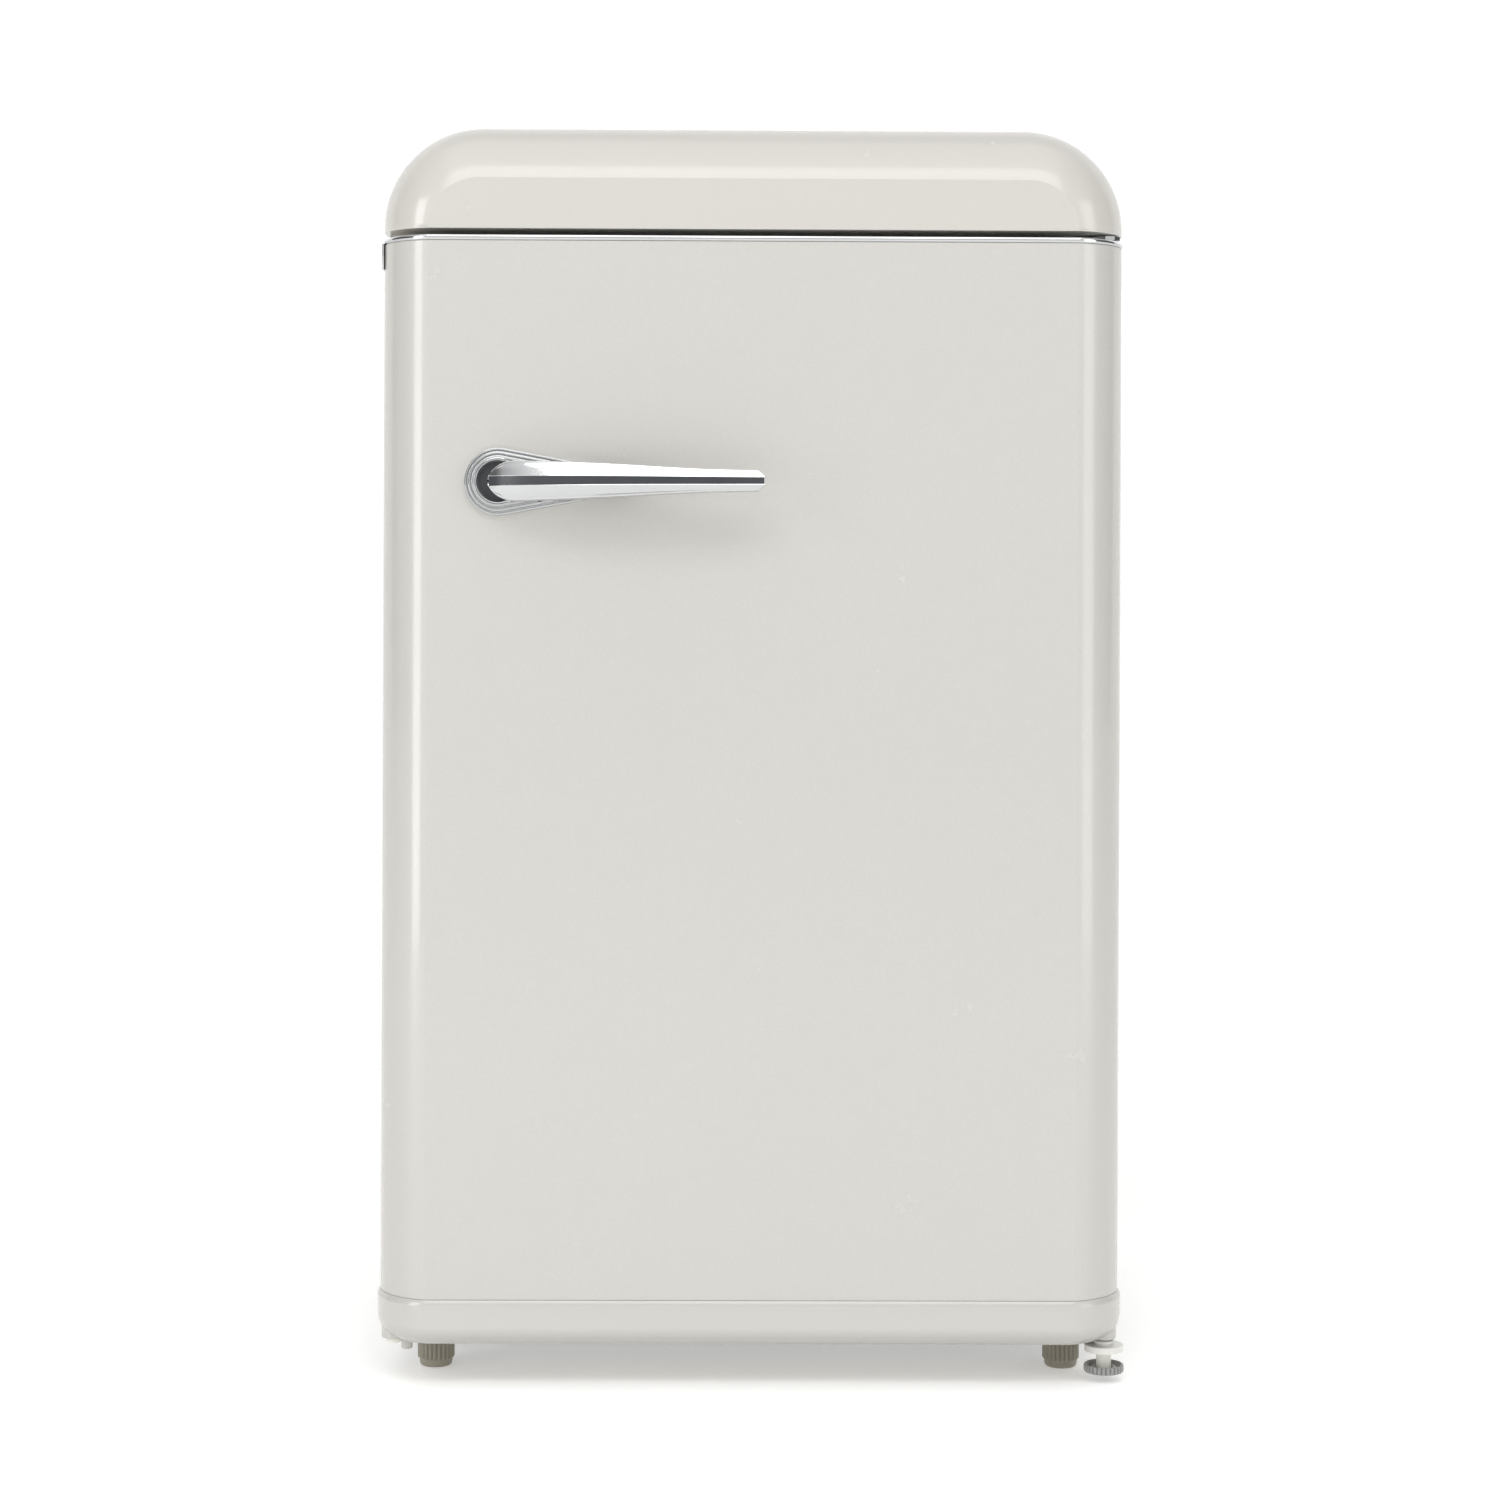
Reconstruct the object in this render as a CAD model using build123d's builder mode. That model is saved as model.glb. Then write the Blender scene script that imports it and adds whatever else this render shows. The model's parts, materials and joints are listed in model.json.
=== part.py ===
"""Retro single-door mini fridge, built as an assembly of separate pieces.

Frame: millimetres, +Z up, the door faces -Y, +X is the hinge side.
The origin is on the floor, under the middle of the whole object's box.
Depths are counted backwards from the door's flat front panel: y_at(0) is that panel.
"""

from build123d import *
import math
import os

os.makedirs("parts", exist_ok=True)

# ---------------------------------------------------------------- driving dimensions
WIDTH = 480.0  # across the door and the top cap
HANDLE_REACH = 40.0  # handle in front of the door panel
CONDENSER_REACH = 28.0  # condenser behind the back panel
BODY_DEPTH = 462.0  # door panel to back panel
TOTAL_DEPTH = HANDLE_REACH + BODY_DEPTH + CONDENSER_REACH
FRONT_Y = HANDLE_REACH - TOTAL_DEPTH / 2

CREASE_ANGLE = 15.0  # the rolled edge meets the flat panel at this angle
ROLL_RADIUS = 43.5  # rolled edge of door and cap
DOOR_DEPTH = ROLL_RADIUS * math.cos(math.radians(CREASE_ANGLE))
ROLL_CENTRE_X = WIDTH / 2 - ROLL_RADIUS

CABINET_FRONT = 54.0  # depth of the cabinet's front frame
STEEL = 0.8
PLASTIC = 2.5
LINER = 1.5
FIT_GAP = 0.2  # between curved faces that back each other

BASE_Z = 34.0  # underside of the cabinet
TRIM_BOTTOM_Z = 27.0
TRIM_TOP_Z = 57.7
TRIM_GROW = 2.0  # the bottom trim stands this much proud of the door
SKIN_TOP_Z = 734.0
DOOR_TOP_Z = 737.6
CAP_BOTTOM_Z = 741.6
CAP_TOP_Z = 810.6
CAP_CORNER = 65.0
CAP_TOP_INSET = 36.6  # flat panel's top edge below the cap's top

SHELL_HALF = 238.0
SHELL_TOP_Z = 808.2
SHELL_CORNER = 63.0

HINGE_X = 230.0
HINGE_DEPTH = 30.0
HINGE_PIN_RADIUS = 3.5
RUNNING_GAP = 0.06  # radial clearance of a pin in its bush

# storage space
CAVITY_HALF = 197.0
CAVITY_FLOOR = 88.0
CAVITY_TOP = 700.0
CAVITY_BACK = 418.0
STEP_TOP = 270.0
STEP_DEPTH = 262.0
BAY_DEPTH = 297.0
BAY_TOP = 231.0

FOOT_X = 206.0
FOOT_DEPTH = 66.0
FOOT_RADIUS = 12.2
REAR_FOOT_DEPTH = 432.0


# ---------------------------------------------------------------- small helpers
def y_at(depth):
    """Y of a plane that many millimetres behind the door panel."""
    return FRONT_Y + depth


def upright(depth):
    """Vertical plane facing the viewer. Extruding by a negative amount goes backwards."""
    return Plane(origin=(0, y_at(depth), 0), x_dir=(1, 0, 0), z_dir=(0, -1, 0))


def level(z):
    return Plane.XY.offset(z)


def sideways(x):
    """Vertical plane across the object's width: sketch x is Y, sketch y is Z."""
    return Plane(origin=(x, 0, 0), x_dir=(0, 1, 0), z_dir=(1, 0, 0))


def block(x, depth, z):
    """Adds a box to the open part. Each argument is a (low, high) pair."""
    with BuildSketch(level(z[0])) as plan:
        with Locations(((x[0] + x[1]) / 2, y_at((depth[0] + depth[1]) / 2))):
            Rectangle(x[1] - x[0], depth[1] - depth[0])
    return extrude(plan.sketch, amount=z[1] - z[0], mode=Mode.PRIVATE)


def post(x, depth, z, radius):
    """Vertical round post between two heights."""
    with BuildSketch(level(z[0])) as plan:
        with Locations((x, y_at(depth))):
            Circle(radius)
    return extrude(plan.sketch, amount=z[1] - z[0], mode=Mode.PRIVATE)


def arch(depth, half, bottom, top, corner):
    """Upright face with a straight foot and two round top corners."""
    with BuildSketch(upright(depth)) as face:
        with BuildLine():
            FilletPolyline(
                (-half, bottom), (-half, top), (half, top), (half, bottom), radius=corner
            )
            Line((half, bottom), (-half, bottom))
        make_face()
    return face.sketch


def door_plan(z, grow):
    """The door's outline from above: flat front, rolled edges, flat back."""
    radius = ROLL_RADIUS + grow
    front = -grow
    angle = math.degrees(math.acos((DOOR_DEPTH - front) / radius))
    crease = ROLL_CENTRE_X + radius * math.sin(math.radians(angle))
    with BuildSketch(level(z)) as plan:
        with BuildLine():
            Line((-crease, y_at(front)), (crease, y_at(front)))
            CenterArc((ROLL_CENTRE_X, y_at(DOOR_DEPTH)), radius, angle - 90, 90 - angle)
            Line((WIDTH / 2 + grow, y_at(DOOR_DEPTH)), (-WIDTH / 2 - grow, y_at(DOOR_DEPTH)))
            CenterArc((-ROLL_CENTRE_X, y_at(DOOR_DEPTH)), radius, 180, 90 - angle)
        make_face()
    return plan.sketch


def write(part, name):
    part.label = name
    export_step(part, f"parts/{name}.step")


# ---------------------------------------------------------------- cabinet shell
FRAME_HALF = 202.0  # opening of the steel front frame
FRAME_BOTTOM = 83.0
FRAME_TOP = 705.0

with BuildPart() as cabinet_shell:
    wrap_depth = BODY_DEPTH - CABINET_FRONT
    extrude(
        arch(CABINET_FRONT, SHELL_HALF, BASE_Z, SHELL_TOP_Z, SHELL_CORNER), amount=-wrap_depth
    )
    extrude(
        arch(
            CABINET_FRONT + STEEL,
            SHELL_HALF - STEEL,
            BASE_Z,
            SHELL_TOP_Z - STEEL,
            SHELL_CORNER - STEEL,
        ),
        amount=-wrap_depth,
        mode=Mode.SUBTRACT,
    )
    add(
        block(
            (-FRAME_HALF, FRAME_HALF),
            (CABINET_FRONT - 1, CABINET_FRONT + STEEL + 1),
            (FRAME_BOTTOM, FRAME_TOP),
        ),
        mode=Mode.SUBTRACT,
    )
write(cabinet_shell.part, "cabinet_shell")

# ---------------------------------------------------------------- cabinet liner
LEDGE_REACH = 8.0
LEDGE_HEIGHT = 8.0
LEDGE_FRONT = 130.0
SHELF_Z = 430.0  # underside of the glass shelf
COVER_Z = 262.0  # underside of the crisper's glass cover
TRAY_Z = 566.0  # underside of the drip tray
SPARE_LEDGE_Z = 350.0
FLANGE_BACK = CABINET_FRONT + STEEL


def cavity(grow):
    """The storage space as a solid, grown by the liner's thickness where asked."""
    with BuildPart() as space:
        with BuildSketch(sideways(-CAVITY_HALF - grow)):
            with BuildLine():
                Polyline(
                    (y_at(FLANGE_BACK), CAVITY_FLOOR - grow),
                    (y_at(STEP_DEPTH + grow), CAVITY_FLOOR - grow),
                    (y_at(STEP_DEPTH + grow), STEP_TOP - grow),
                    (y_at(CAVITY_BACK + grow), STEP_TOP - grow),
                    (y_at(CAVITY_BACK + grow), CAVITY_TOP + grow),
                    (y_at(FLANGE_BACK), CAVITY_TOP + grow),
                    close=True,
                )
            make_face()
        extrude(amount=2 * (CAVITY_HALF + grow))
        inner_edges = space.edges().filter_by(Axis.X).group_by(Axis.Y)[1:]
        corner_edges = [edge for group in inner_edges for edge in group]
        fillet(corner_edges, radius=10 + grow)
    return space.part


liner_space = cavity(0)
liner_block = cavity(LINER)

with BuildPart() as cabinet_liner:
    add(liner_block)
    add(
        block(
            (-216, 216),
            (FLANGE_BACK, FLANGE_BACK + LINER),
            (CAVITY_FLOOR - 18, CAVITY_TOP + 18),
        )
    )
    add(liner_space, mode=Mode.SUBTRACT)
    for side in (-1, 1):
        inner = sorted((side * CAVITY_HALF, side * (CAVITY_HALF - LEDGE_REACH)))
        for z in (SHELF_Z, TRAY_Z, SPARE_LEDGE_Z):
            add(block(inner, (LEDGE_FRONT, CAVITY_BACK - 4), (z - LEDGE_HEIGHT, z)))
        add(block(inner, (LEDGE_FRONT, STEP_DEPTH), (COVER_Z - LEDGE_HEIGHT, COVER_Z)))
write(cabinet_liner.part, "cabinet_liner")

# ---------------------------------------------------------------- insulation foam
FOAM_FRONT = FLANGE_BACK + LINER
FOAM_BACK = BODY_DEPTH - 1.0

with BuildPart() as cabinet_foam:
    extrude(
        arch(
            FOAM_FRONT,
            SHELL_HALF - STEEL - FIT_GAP,
            BASE_Z + 1.2,
            SHELL_TOP_Z - STEEL - FIT_GAP,
            SHELL_CORNER - STEEL - FIT_GAP,
        ),
        amount=FOAM_FRONT - FOAM_BACK,
    )
    add(cavity(LINER + FIT_GAP), mode=Mode.SUBTRACT)
    add(
        block((-SHELL_HALF, SHELL_HALF), (BAY_DEPTH, BODY_DEPTH), (BASE_Z, BAY_TOP + 1.0)),
        mode=Mode.SUBTRACT,
    )
    for x in (-FOOT_X, FOOT_X):
        add(post(x, FOOT_DEPTH, (BASE_Z, BASE_Z + 16), 10.0), mode=Mode.SUBTRACT)
write(cabinet_foam.part, "cabinet_foam")

# ---------------------------------------------------------------- back and underside
SHEET_HALF = SHELL_HALF - STEEL - FIT_GAP

with BuildPart() as back_panel:
    extrude(
        arch(
            BODY_DEPTH - STEEL,
            SHEET_HALF,
            BAY_TOP + 1.0,
            SHELL_TOP_Z - STEEL - FIT_GAP,
            SHELL_CORNER - STEEL - FIT_GAP,
        ),
        amount=-STEEL,
    )
write(back_panel.part, "back_panel")

STUD_RADIUS = 4.0
STUD_HOLE = STUD_RADIUS + 0.15
NUT_HEIGHT = 7.7
NUT_RADIUS = 7.5

with BuildPart() as base_plate:
    add(block((-SHEET_HALF, SHEET_HALF), (FLANGE_BACK, BAY_DEPTH), (BASE_Z, BASE_Z + 1.2)))
    with BuildSketch(level(BASE_Z)):
        with Locations((-FOOT_X, y_at(FOOT_DEPTH)), (FOOT_X, y_at(FOOT_DEPTH))):
            RegularPolygon(NUT_RADIUS, 6)
    extrude(amount=NUT_HEIGHT)
    for x in (-FOOT_X, FOOT_X):
        add(post(x, FOOT_DEPTH, (BASE_Z - 1, BASE_Z + 9), STUD_HOLE), mode=Mode.SUBTRACT)
write(base_plate.part, "base_plate")

BAY_SHEET = 1.0
TRAY_SHEET = 2.0

with BuildPart() as compressor_bay_panel:
    add(
        block(
            (-SHEET_HALF, SHEET_HALF),
            (BAY_DEPTH, BODY_DEPTH - STEEL),
            (BASE_Z + TRAY_SHEET, BAY_TOP + BAY_SHEET),
        )
    )
    add(
        block(
            (-SHEET_HALF + BAY_SHEET, SHEET_HALF - BAY_SHEET),
            (BAY_DEPTH + BAY_SHEET, BODY_DEPTH + 1),
            (BASE_Z, BAY_TOP),
        ),
        mode=Mode.SUBTRACT,
    )
write(compressor_bay_panel.part, "compressor_bay_panel")

COMPRESSOR_X = 70.0
COMPRESSOR_DEPTH = 378.0
GROMMET_SPREAD_X = 78.0
GROMMET_SPREAD_Y = 48.0
GROMMET_SPOTS = [
    (COMPRESSOR_X + sx * GROMMET_SPREAD_X, y_at(COMPRESSOR_DEPTH + sy * GROMMET_SPREAD_Y))
    for sx in (-1, 1)
    for sy in (-1, 1)
]

with BuildPart() as compressor_tray:
    add(block((-SHEET_HALF, SHEET_HALF), (BAY_DEPTH, BODY_DEPTH), (BASE_Z, BASE_Z + TRAY_SHEET)))
    add(
        block(
            (-SHEET_HALF + 2, SHEET_HALF - 2),
            (BODY_DEPTH - TRAY_SHEET, BODY_DEPTH),
            (BASE_Z + TRAY_SHEET, BASE_Z + 14),
        )
    )
    with Locations(*[(x, y, BASE_Z) for x, y in GROMMET_SPOTS]):
        Cylinder(3.2, 3 * TRAY_SHEET, mode=Mode.SUBTRACT)
write(compressor_tray.part, "compressor_tray")

# ---------------------------------------------------------------- compressor
CAN_RADIUS = 62.0
CAN_BOTTOM = 46.0
CAN_TOP = 186.0
FOOT_PLATE_Z = 42.0

SEAM = (116.0, 124.0)  # weld seam round the can

with BuildPart() as compressor:
    can = (COMPRESSOR_X, COMPRESSOR_DEPTH)
    add(post(*can, (CAN_BOTTOM, SEAM[0]), CAN_RADIUS))
    fillet(compressor.faces().sort_by(Axis.Z)[0].edges(), radius=22)
    add(post(*can, (SEAM[1], CAN_TOP), CAN_RADIUS - 1))
    fillet(compressor.faces().sort_by(Axis.Z)[-1].edges(), radius=42)
    add(post(*can, SEAM, CAN_RADIUS + 3))
    with BuildSketch(level(FOOT_PLATE_Z)):
        with Locations((COMPRESSOR_X, y_at(COMPRESSOR_DEPTH))):
            RectangleRounded(2 * GROMMET_SPREAD_X + 30, 2 * GROMMET_SPREAD_Y + 30, 12)
        with Locations(*GROMMET_SPOTS):
            Circle(7.0, mode=Mode.SUBTRACT)
    extrude(amount=CAN_BOTTOM + 1 - FOOT_PLATE_Z)
write(compressor.part, "compressor")

with BuildPart() as compressor_grommets:
    with BuildSketch(level(BASE_Z + TRAY_SHEET)):
        with Locations(*GROMMET_SPOTS):
            Circle(11.0)
            Circle(3.4, mode=Mode.SUBTRACT)
    extrude(amount=FOOT_PLATE_Z - BASE_Z - TRAY_SHEET)
    with BuildSketch(level(FOOT_PLATE_Z)):
        with Locations(*GROMMET_SPOTS):
            Circle(6.8)
            Circle(3.4, mode=Mode.SUBTRACT)
    extrude(amount=8.0)
write(compressor_grommets.part, "compressor_grommets")

with BuildPart() as compressor_bolts:
    for x, y in GROMMET_SPOTS:
        with BuildSketch(level(BASE_Z - 4)):
            with Locations((x, y)):
                Circle(3.0)
        extrude(amount=27)
        with BuildSketch(level(FOOT_PLATE_Z + 8.0)):
            with Locations((x, y)):
                RegularPolygon(7.0, 6)
        extrude(amount=5)
write(compressor_bolts.part, "compressor_bolts")

RELAY_X = COMPRESSOR_X - CAN_RADIUS - 22
with BuildPart() as relay_cover:
    add(
        block(
            (RELAY_X - 24, RELAY_X + 20),
            (COMPRESSOR_DEPTH - 26, COMPRESSOR_DEPTH + 30),
            (CAN_BOTTOM + 12, CAN_BOTTOM + 66),
        )
    )
    fillet(relay_cover.edges().filter_by(Axis.Z), radius=6)
    fillet(relay_cover.faces().sort_by(Axis.Z)[-1].edges(), radius=4)
write(relay_cover.part, "relay_cover")


# ---------------------------------------------------------------- condenser and pipes
CONDENSER_TUBE = 2.5
WIRE_RADIUS = 0.8
WIRE_STEP = CONDENSER_TUBE + WIRE_RADIUS
CONDENSER_DEPTH = BODY_DEPTH + CONDENSER_REACH - WIRE_STEP - WIRE_RADIUS
RUN_HALF = 164.0
RUN_PITCH = 48.0
RUN_COUNT = 10
RUN_BOTTOM = 258.0
WIRE_PITCH = 11.0
WIRE_COUNT = 31
WIRE_LOW = RUN_BOTTOM - 14
WIRE_HIGH = RUN_BOTTOM + (RUN_COUNT - 1) * RUN_PITCH + 14


def tube(points, radii, radius):
    """Round tube along straight runs joined by tangent arcs."""
    with BuildPart() as pipe:
        with BuildLine() as route:
            FilletPolyline(*points, radius=radii)
        start = route.line @ 0
        with BuildSketch(Plane(origin=start, z_dir=route.line % 0)):
            Circle(radius)
        sweep(path=route.line)
    return pipe.part


with BuildPart() as condenser_tube:
    with BuildLine() as serpentine:
        for run in range(RUN_COUNT):
            z = RUN_BOTTOM + run * RUN_PITCH
            way = 1 if run % 2 == 0 else -1
            y = y_at(CONDENSER_DEPTH)
            Line((-way * RUN_HALF, y, z), (way * RUN_HALF, y, z))
            if run < RUN_COUNT - 1:
                ThreePointArc(
                    (way * RUN_HALF, y, z),
                    (way * (RUN_HALF + RUN_PITCH / 2), y, z + RUN_PITCH / 2),
                    (way * RUN_HALF, y, z + RUN_PITCH),
                )
    with BuildSketch(
        Plane(origin=(-RUN_HALF, y_at(CONDENSER_DEPTH), RUN_BOTTOM), z_dir=(1, 0, 0))
    ):
        Circle(CONDENSER_TUBE)
    sweep(path=serpentine.line)
write(condenser_tube.part, "condenser_tube")

with BuildPart() as condenser_wires:
    with BuildSketch(level(WIRE_LOW)):
        with Locations((0, y_at(CONDENSER_DEPTH))):
            with GridLocations(WIRE_PITCH, 2 * WIRE_STEP, WIRE_COUNT, 2):
                Circle(WIRE_RADIUS)
    extrude(amount=WIRE_HIGH - WIRE_LOW)
write(condenser_wires.part, "condenser_wires")

BRACKET_X = 14 * WIRE_PITCH
wire_face = CONDENSER_DEPTH - WIRE_STEP - WIRE_RADIUS
with BuildPart() as condenser_brackets:
    for x in (-BRACKET_X, BRACKET_X):
        for run in (1, RUN_COUNT - 2):
            z = RUN_BOTTOM + run * RUN_PITCH + RUN_PITCH / 2
            add(block((x - 7, x + 7), (BODY_DEPTH, BODY_DEPTH + 1.5), (z - 12, z + 12)))
            add(block((x - 1, x + 1), (BODY_DEPTH + 1.5, wire_face), (z - 8, z + 8)))
write(condenser_brackets.part, "condenser_brackets")

PIPE_START = COMPRESSOR_DEPTH + 56.2
with BuildPart() as discharge_pipe:
    add(
        tube(
            [
                (COMPRESSOR_X - 30, y_at(PIPE_START), 110),
                (COMPRESSOR_X - 30, y_at(CONDENSER_DEPTH), 110),
                (-RUN_HALF - 36, y_at(CONDENSER_DEPTH), 110),
                (-RUN_HALF - 36, y_at(CONDENSER_DEPTH), RUN_BOTTOM),
                (-RUN_HALF, y_at(CONDENSER_DEPTH), RUN_BOTTOM),
            ],
            10,
            2.5,
        )
    )
write(discharge_pipe.part, "discharge_pipe")

with BuildPart() as suction_pipe:
    add(
        tube(
            [
                (COMPRESSOR_X + 30, y_at(PIPE_START), 100),
                (COMPRESSOR_X + 30, y_at(BODY_DEPTH - 5), 100),
                (200, y_at(BODY_DEPTH - 5), 100),
                (200, y_at(BODY_DEPTH - 5), BAY_TOP - 0.2),
            ],
            10,
            3.0,
        )
    )
write(suction_pipe.part, "suction_pipe")

DRIER_X = -110.0
DRIER_DEPTH = BODY_DEPTH - 26
with BuildPart() as filter_drier:
    with BuildSketch(
        Plane(origin=(DRIER_X, y_at(DRIER_DEPTH), 0), x_dir=(1, 0, 0), z_dir=(0, -1, 0))
    ):
        with BuildLine():
            Polyline(
                (0, 66),
                (2.2, 66),
                (2.2, 82),
                (9, 92),
                (9, 158),
                (3, 168),
                (3, BAY_TOP),
                (0, BAY_TOP),
                close=True,
            )
        make_face()
    revolve(axis=Axis((DRIER_X, y_at(DRIER_DEPTH), 0), (0, 0, 1)))
write(filter_drier.part, "filter_drier")

GLAND_SPOT = (-205.0, 60.0)
GLAND_RADIUS = 11.0
CORD_RADIUS = 4.0
with BuildPart() as cord_gland:
    with BuildSketch(upright(BODY_DEPTH)):
        with Locations(GLAND_SPOT):
            Circle(GLAND_RADIUS)
            Circle(CORD_RADIUS, mode=Mode.SUBTRACT)
    extrude(amount=-7)
    fillet(cord_gland.faces().sort_by(Axis.Y)[-1].edges(), radius=1.5)
    with BuildSketch(upright(BODY_DEPTH)):
        with Locations(GLAND_SPOT):
            Rectangle(3 * GLAND_RADIUS, 34)
            Circle(GLAND_RADIUS, mode=Mode.SUBTRACT)
    extrude(amount=-2)
write(cord_gland.part, "cord_gland")

# ---------------------------------------------------------------- top cap
SECTION_COUNT = 6
CORNER_LAND = 0.5  # straight side left under the round corner


def cap_solid(inset, bottom, back):
    """The cap's outer form, shrunk by inset: a flat panel rolling over to top and sides."""
    side_scale = ROLL_RADIUS
    top_scale = CAP_TOP_INSET / (1 - math.sin(math.radians(CREASE_ANGLE)))
    with BuildPart() as body:
        sections = []
        for i in range(SECTION_COUNT):
            angle = math.radians(CREASE_ANGLE + (90 - CREASE_ANGLE) * i / (SECTION_COUNT - 1))
            side = side_scale * (1 - math.sin(angle)) + inset
            top = top_scale * (1 - math.sin(angle)) + inset
            depth = DOOR_DEPTH - ROLL_RADIUS * math.cos(angle) + inset
            corner = min(CAP_CORNER - side, CAP_TOP_Z - top - bottom - CORNER_LAND)
            sections.append(arch(depth, WIDTH / 2 - side, bottom, CAP_TOP_Z - top, corner))
        loft(sections)
        extrude(sections[-1], amount=-(back - DOOR_DEPTH - inset))
    return body.part


UPPER_NOTCH_X = (194.0, 237.5)
LEG_HEIGHT = 22.0

with BuildPart() as top_cap:
    add(cap_solid(0.0, CAP_BOTTOM_Z, CABINET_FRONT))
    add(cap_solid(PLASTIC, CAP_BOTTOM_Z + PLASTIC, CABINET_FRONT + 5), mode=Mode.SUBTRACT)
    add(
        block(
            UPPER_NOTCH_X,
            (CABINET_FRONT - 9, CABINET_FRONT + 1),
            (CAP_BOTTOM_Z - 1, CAP_BOTTOM_Z + PLASTIC + 3),
        ),
        mode=Mode.SUBTRACT,
    )
write(top_cap.part, "top_cap")

# ---------------------------------------------------------------- hinges
BRACKET_T = 2.6
UPPER_PLATE_Z = DOOR_TOP_Z + 0.7
BRACKET_LEFT = 198.0
BRACKET_RIGHT = HINGE_X + 7
LEG_RIGHT = HINGE_X + 2

with BuildPart() as upper_hinge_bracket:
    with BuildSketch(level(UPPER_PLATE_Z)):
        with BuildLine():
            Polyline(
                (BRACKET_RIGHT, y_at(CABINET_FRONT)),
                (BRACKET_LEFT, y_at(CABINET_FRONT)),
                (BRACKET_LEFT, y_at(CABINET_FRONT - 10)),
                (HINGE_X - 9, y_at(HINGE_DEPTH - 4)),
                (HINGE_X - 3, y_at(HINGE_DEPTH - 9)),
                (HINGE_X + 3, y_at(HINGE_DEPTH - 9)),
                (BRACKET_RIGHT, y_at(HINGE_DEPTH - 4)),
                close=True,
            )
        make_face()
    extrude(amount=BRACKET_T)
    add(
        block(
            (BRACKET_LEFT, LEG_RIGHT),
            (CABINET_FRONT - BRACKET_T, CABINET_FRONT),
            (UPPER_PLATE_Z + BRACKET_T, CAP_BOTTOM_Z + LEG_HEIGHT),
        )
    )
    with Locations((HINGE_X, y_at(HINGE_DEPTH), UPPER_PLATE_Z)):
        Cylinder(HINGE_PIN_RADIUS, 4 * BRACKET_T, mode=Mode.SUBTRACT)
write(upper_hinge_bracket.part, "upper_hinge_bracket")

PIN_ENGAGEMENT = 16.0
UPPER_PIN = (DOOR_TOP_Z - PIN_ENGAGEMENT, UPPER_PLATE_Z + BRACKET_T)
with BuildPart() as upper_hinge_pin:
    add(post(HINGE_X, HINGE_DEPTH, UPPER_PIN, HINGE_PIN_RADIUS))
    chamfer(upper_hinge_pin.faces().sort_by(Axis.Z)[0].edges(), length=0.8)
write(upper_hinge_pin.part, "upper_hinge_pin")

LOWER_PLATE = (19.2, 23.2)
TONGUE_RADIUS = 12.4
TONGUE_BACK = 112.0
COLLAR_TOP = 26.4
LOWER_PIN_TOP = TRIM_BOTTOM_Z + 20.6
WHEEL_STUD_RADIUS = 4.8
WHEEL_STUD_TOP = COLLAR_TOP - 1
RISER_FRONT = 90.0

with BuildPart() as lower_hinge_bracket:
    with BuildSketch(level(LOWER_PLATE[0])):
        with Locations((HINGE_X, y_at(HINGE_DEPTH))):
            Circle(TONGUE_RADIUS)
        with Locations((HINGE_X - 2, y_at((HINGE_DEPTH + TONGUE_BACK) / 2))):
            Rectangle(17, TONGUE_BACK - HINGE_DEPTH)
        with Locations((HINGE_X, y_at(HINGE_DEPTH))):
            Circle(WHEEL_STUD_RADIUS + 0.15, mode=Mode.SUBTRACT)
        with Locations((FOOT_X, y_at(FOOT_DEPTH))):
            Circle(FOOT_RADIUS + 1.2, mode=Mode.SUBTRACT)
    extrude(amount=LOWER_PLATE[1] - LOWER_PLATE[0])
    add(
        block(
            (HINGE_X - 10.5, HINGE_X + 6.5),
            (RISER_FRONT, TONGUE_BACK),
            (LOWER_PLATE[1], BASE_Z),
        )
    )
write(lower_hinge_bracket.part, "lower_hinge_bracket")

COLLAR_RADIUS = 6.6
with BuildPart() as lower_hinge_pin:
    add(post(HINGE_X, HINGE_DEPTH, (COLLAR_TOP - 0.9, LOWER_PIN_TOP), HINGE_PIN_RADIUS))
    chamfer(lower_hinge_pin.faces().sort_by(Axis.Z)[-1].edges(), length=0.8)
    add(post(HINGE_X, HINGE_DEPTH, (LOWER_PLATE[1], COLLAR_TOP), COLLAR_RADIUS))
    add(
        post(
            HINGE_X,
            HINGE_DEPTH,
            (LOWER_PLATE[1] - 1, WHEEL_STUD_TOP + 0.1),
            WHEEL_STUD_RADIUS + 0.15,
        ),
        mode=Mode.SUBTRACT,
    )
write(lower_hinge_pin.part, "lower_hinge_pin")

SCREW_HEAD = 4.0
SCREW_HEAD_T = 2.2
with BuildPart() as hinge_screws:
    with BuildSketch(upright(CABINET_FRONT - BRACKET_T)):
        with Locations((BRACKET_LEFT + 8, CAP_BOTTOM_Z + 15), (LEG_RIGHT - 8, CAP_BOTTOM_Z + 15)):
            Circle(SCREW_HEAD)
    extrude(amount=SCREW_HEAD_T)
    with BuildSketch(level(LOWER_PLATE[0])):
        with Locations((HINGE_X - 2, y_at(96.0)), (HINGE_X - 2, y_at(106.0))):
            Circle(SCREW_HEAD)
    extrude(amount=-SCREW_HEAD_T)
write(hinge_screws.part, "hinge_screws")


# ---------------------------------------------------------------- levelling feet
RIB_COUNT = 24
KNOB_TOP = 24.0
KNOB_STEP = 5.0
STUD_DIP = 12.0
STUD_TOP = BASE_Z + 12


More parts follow.
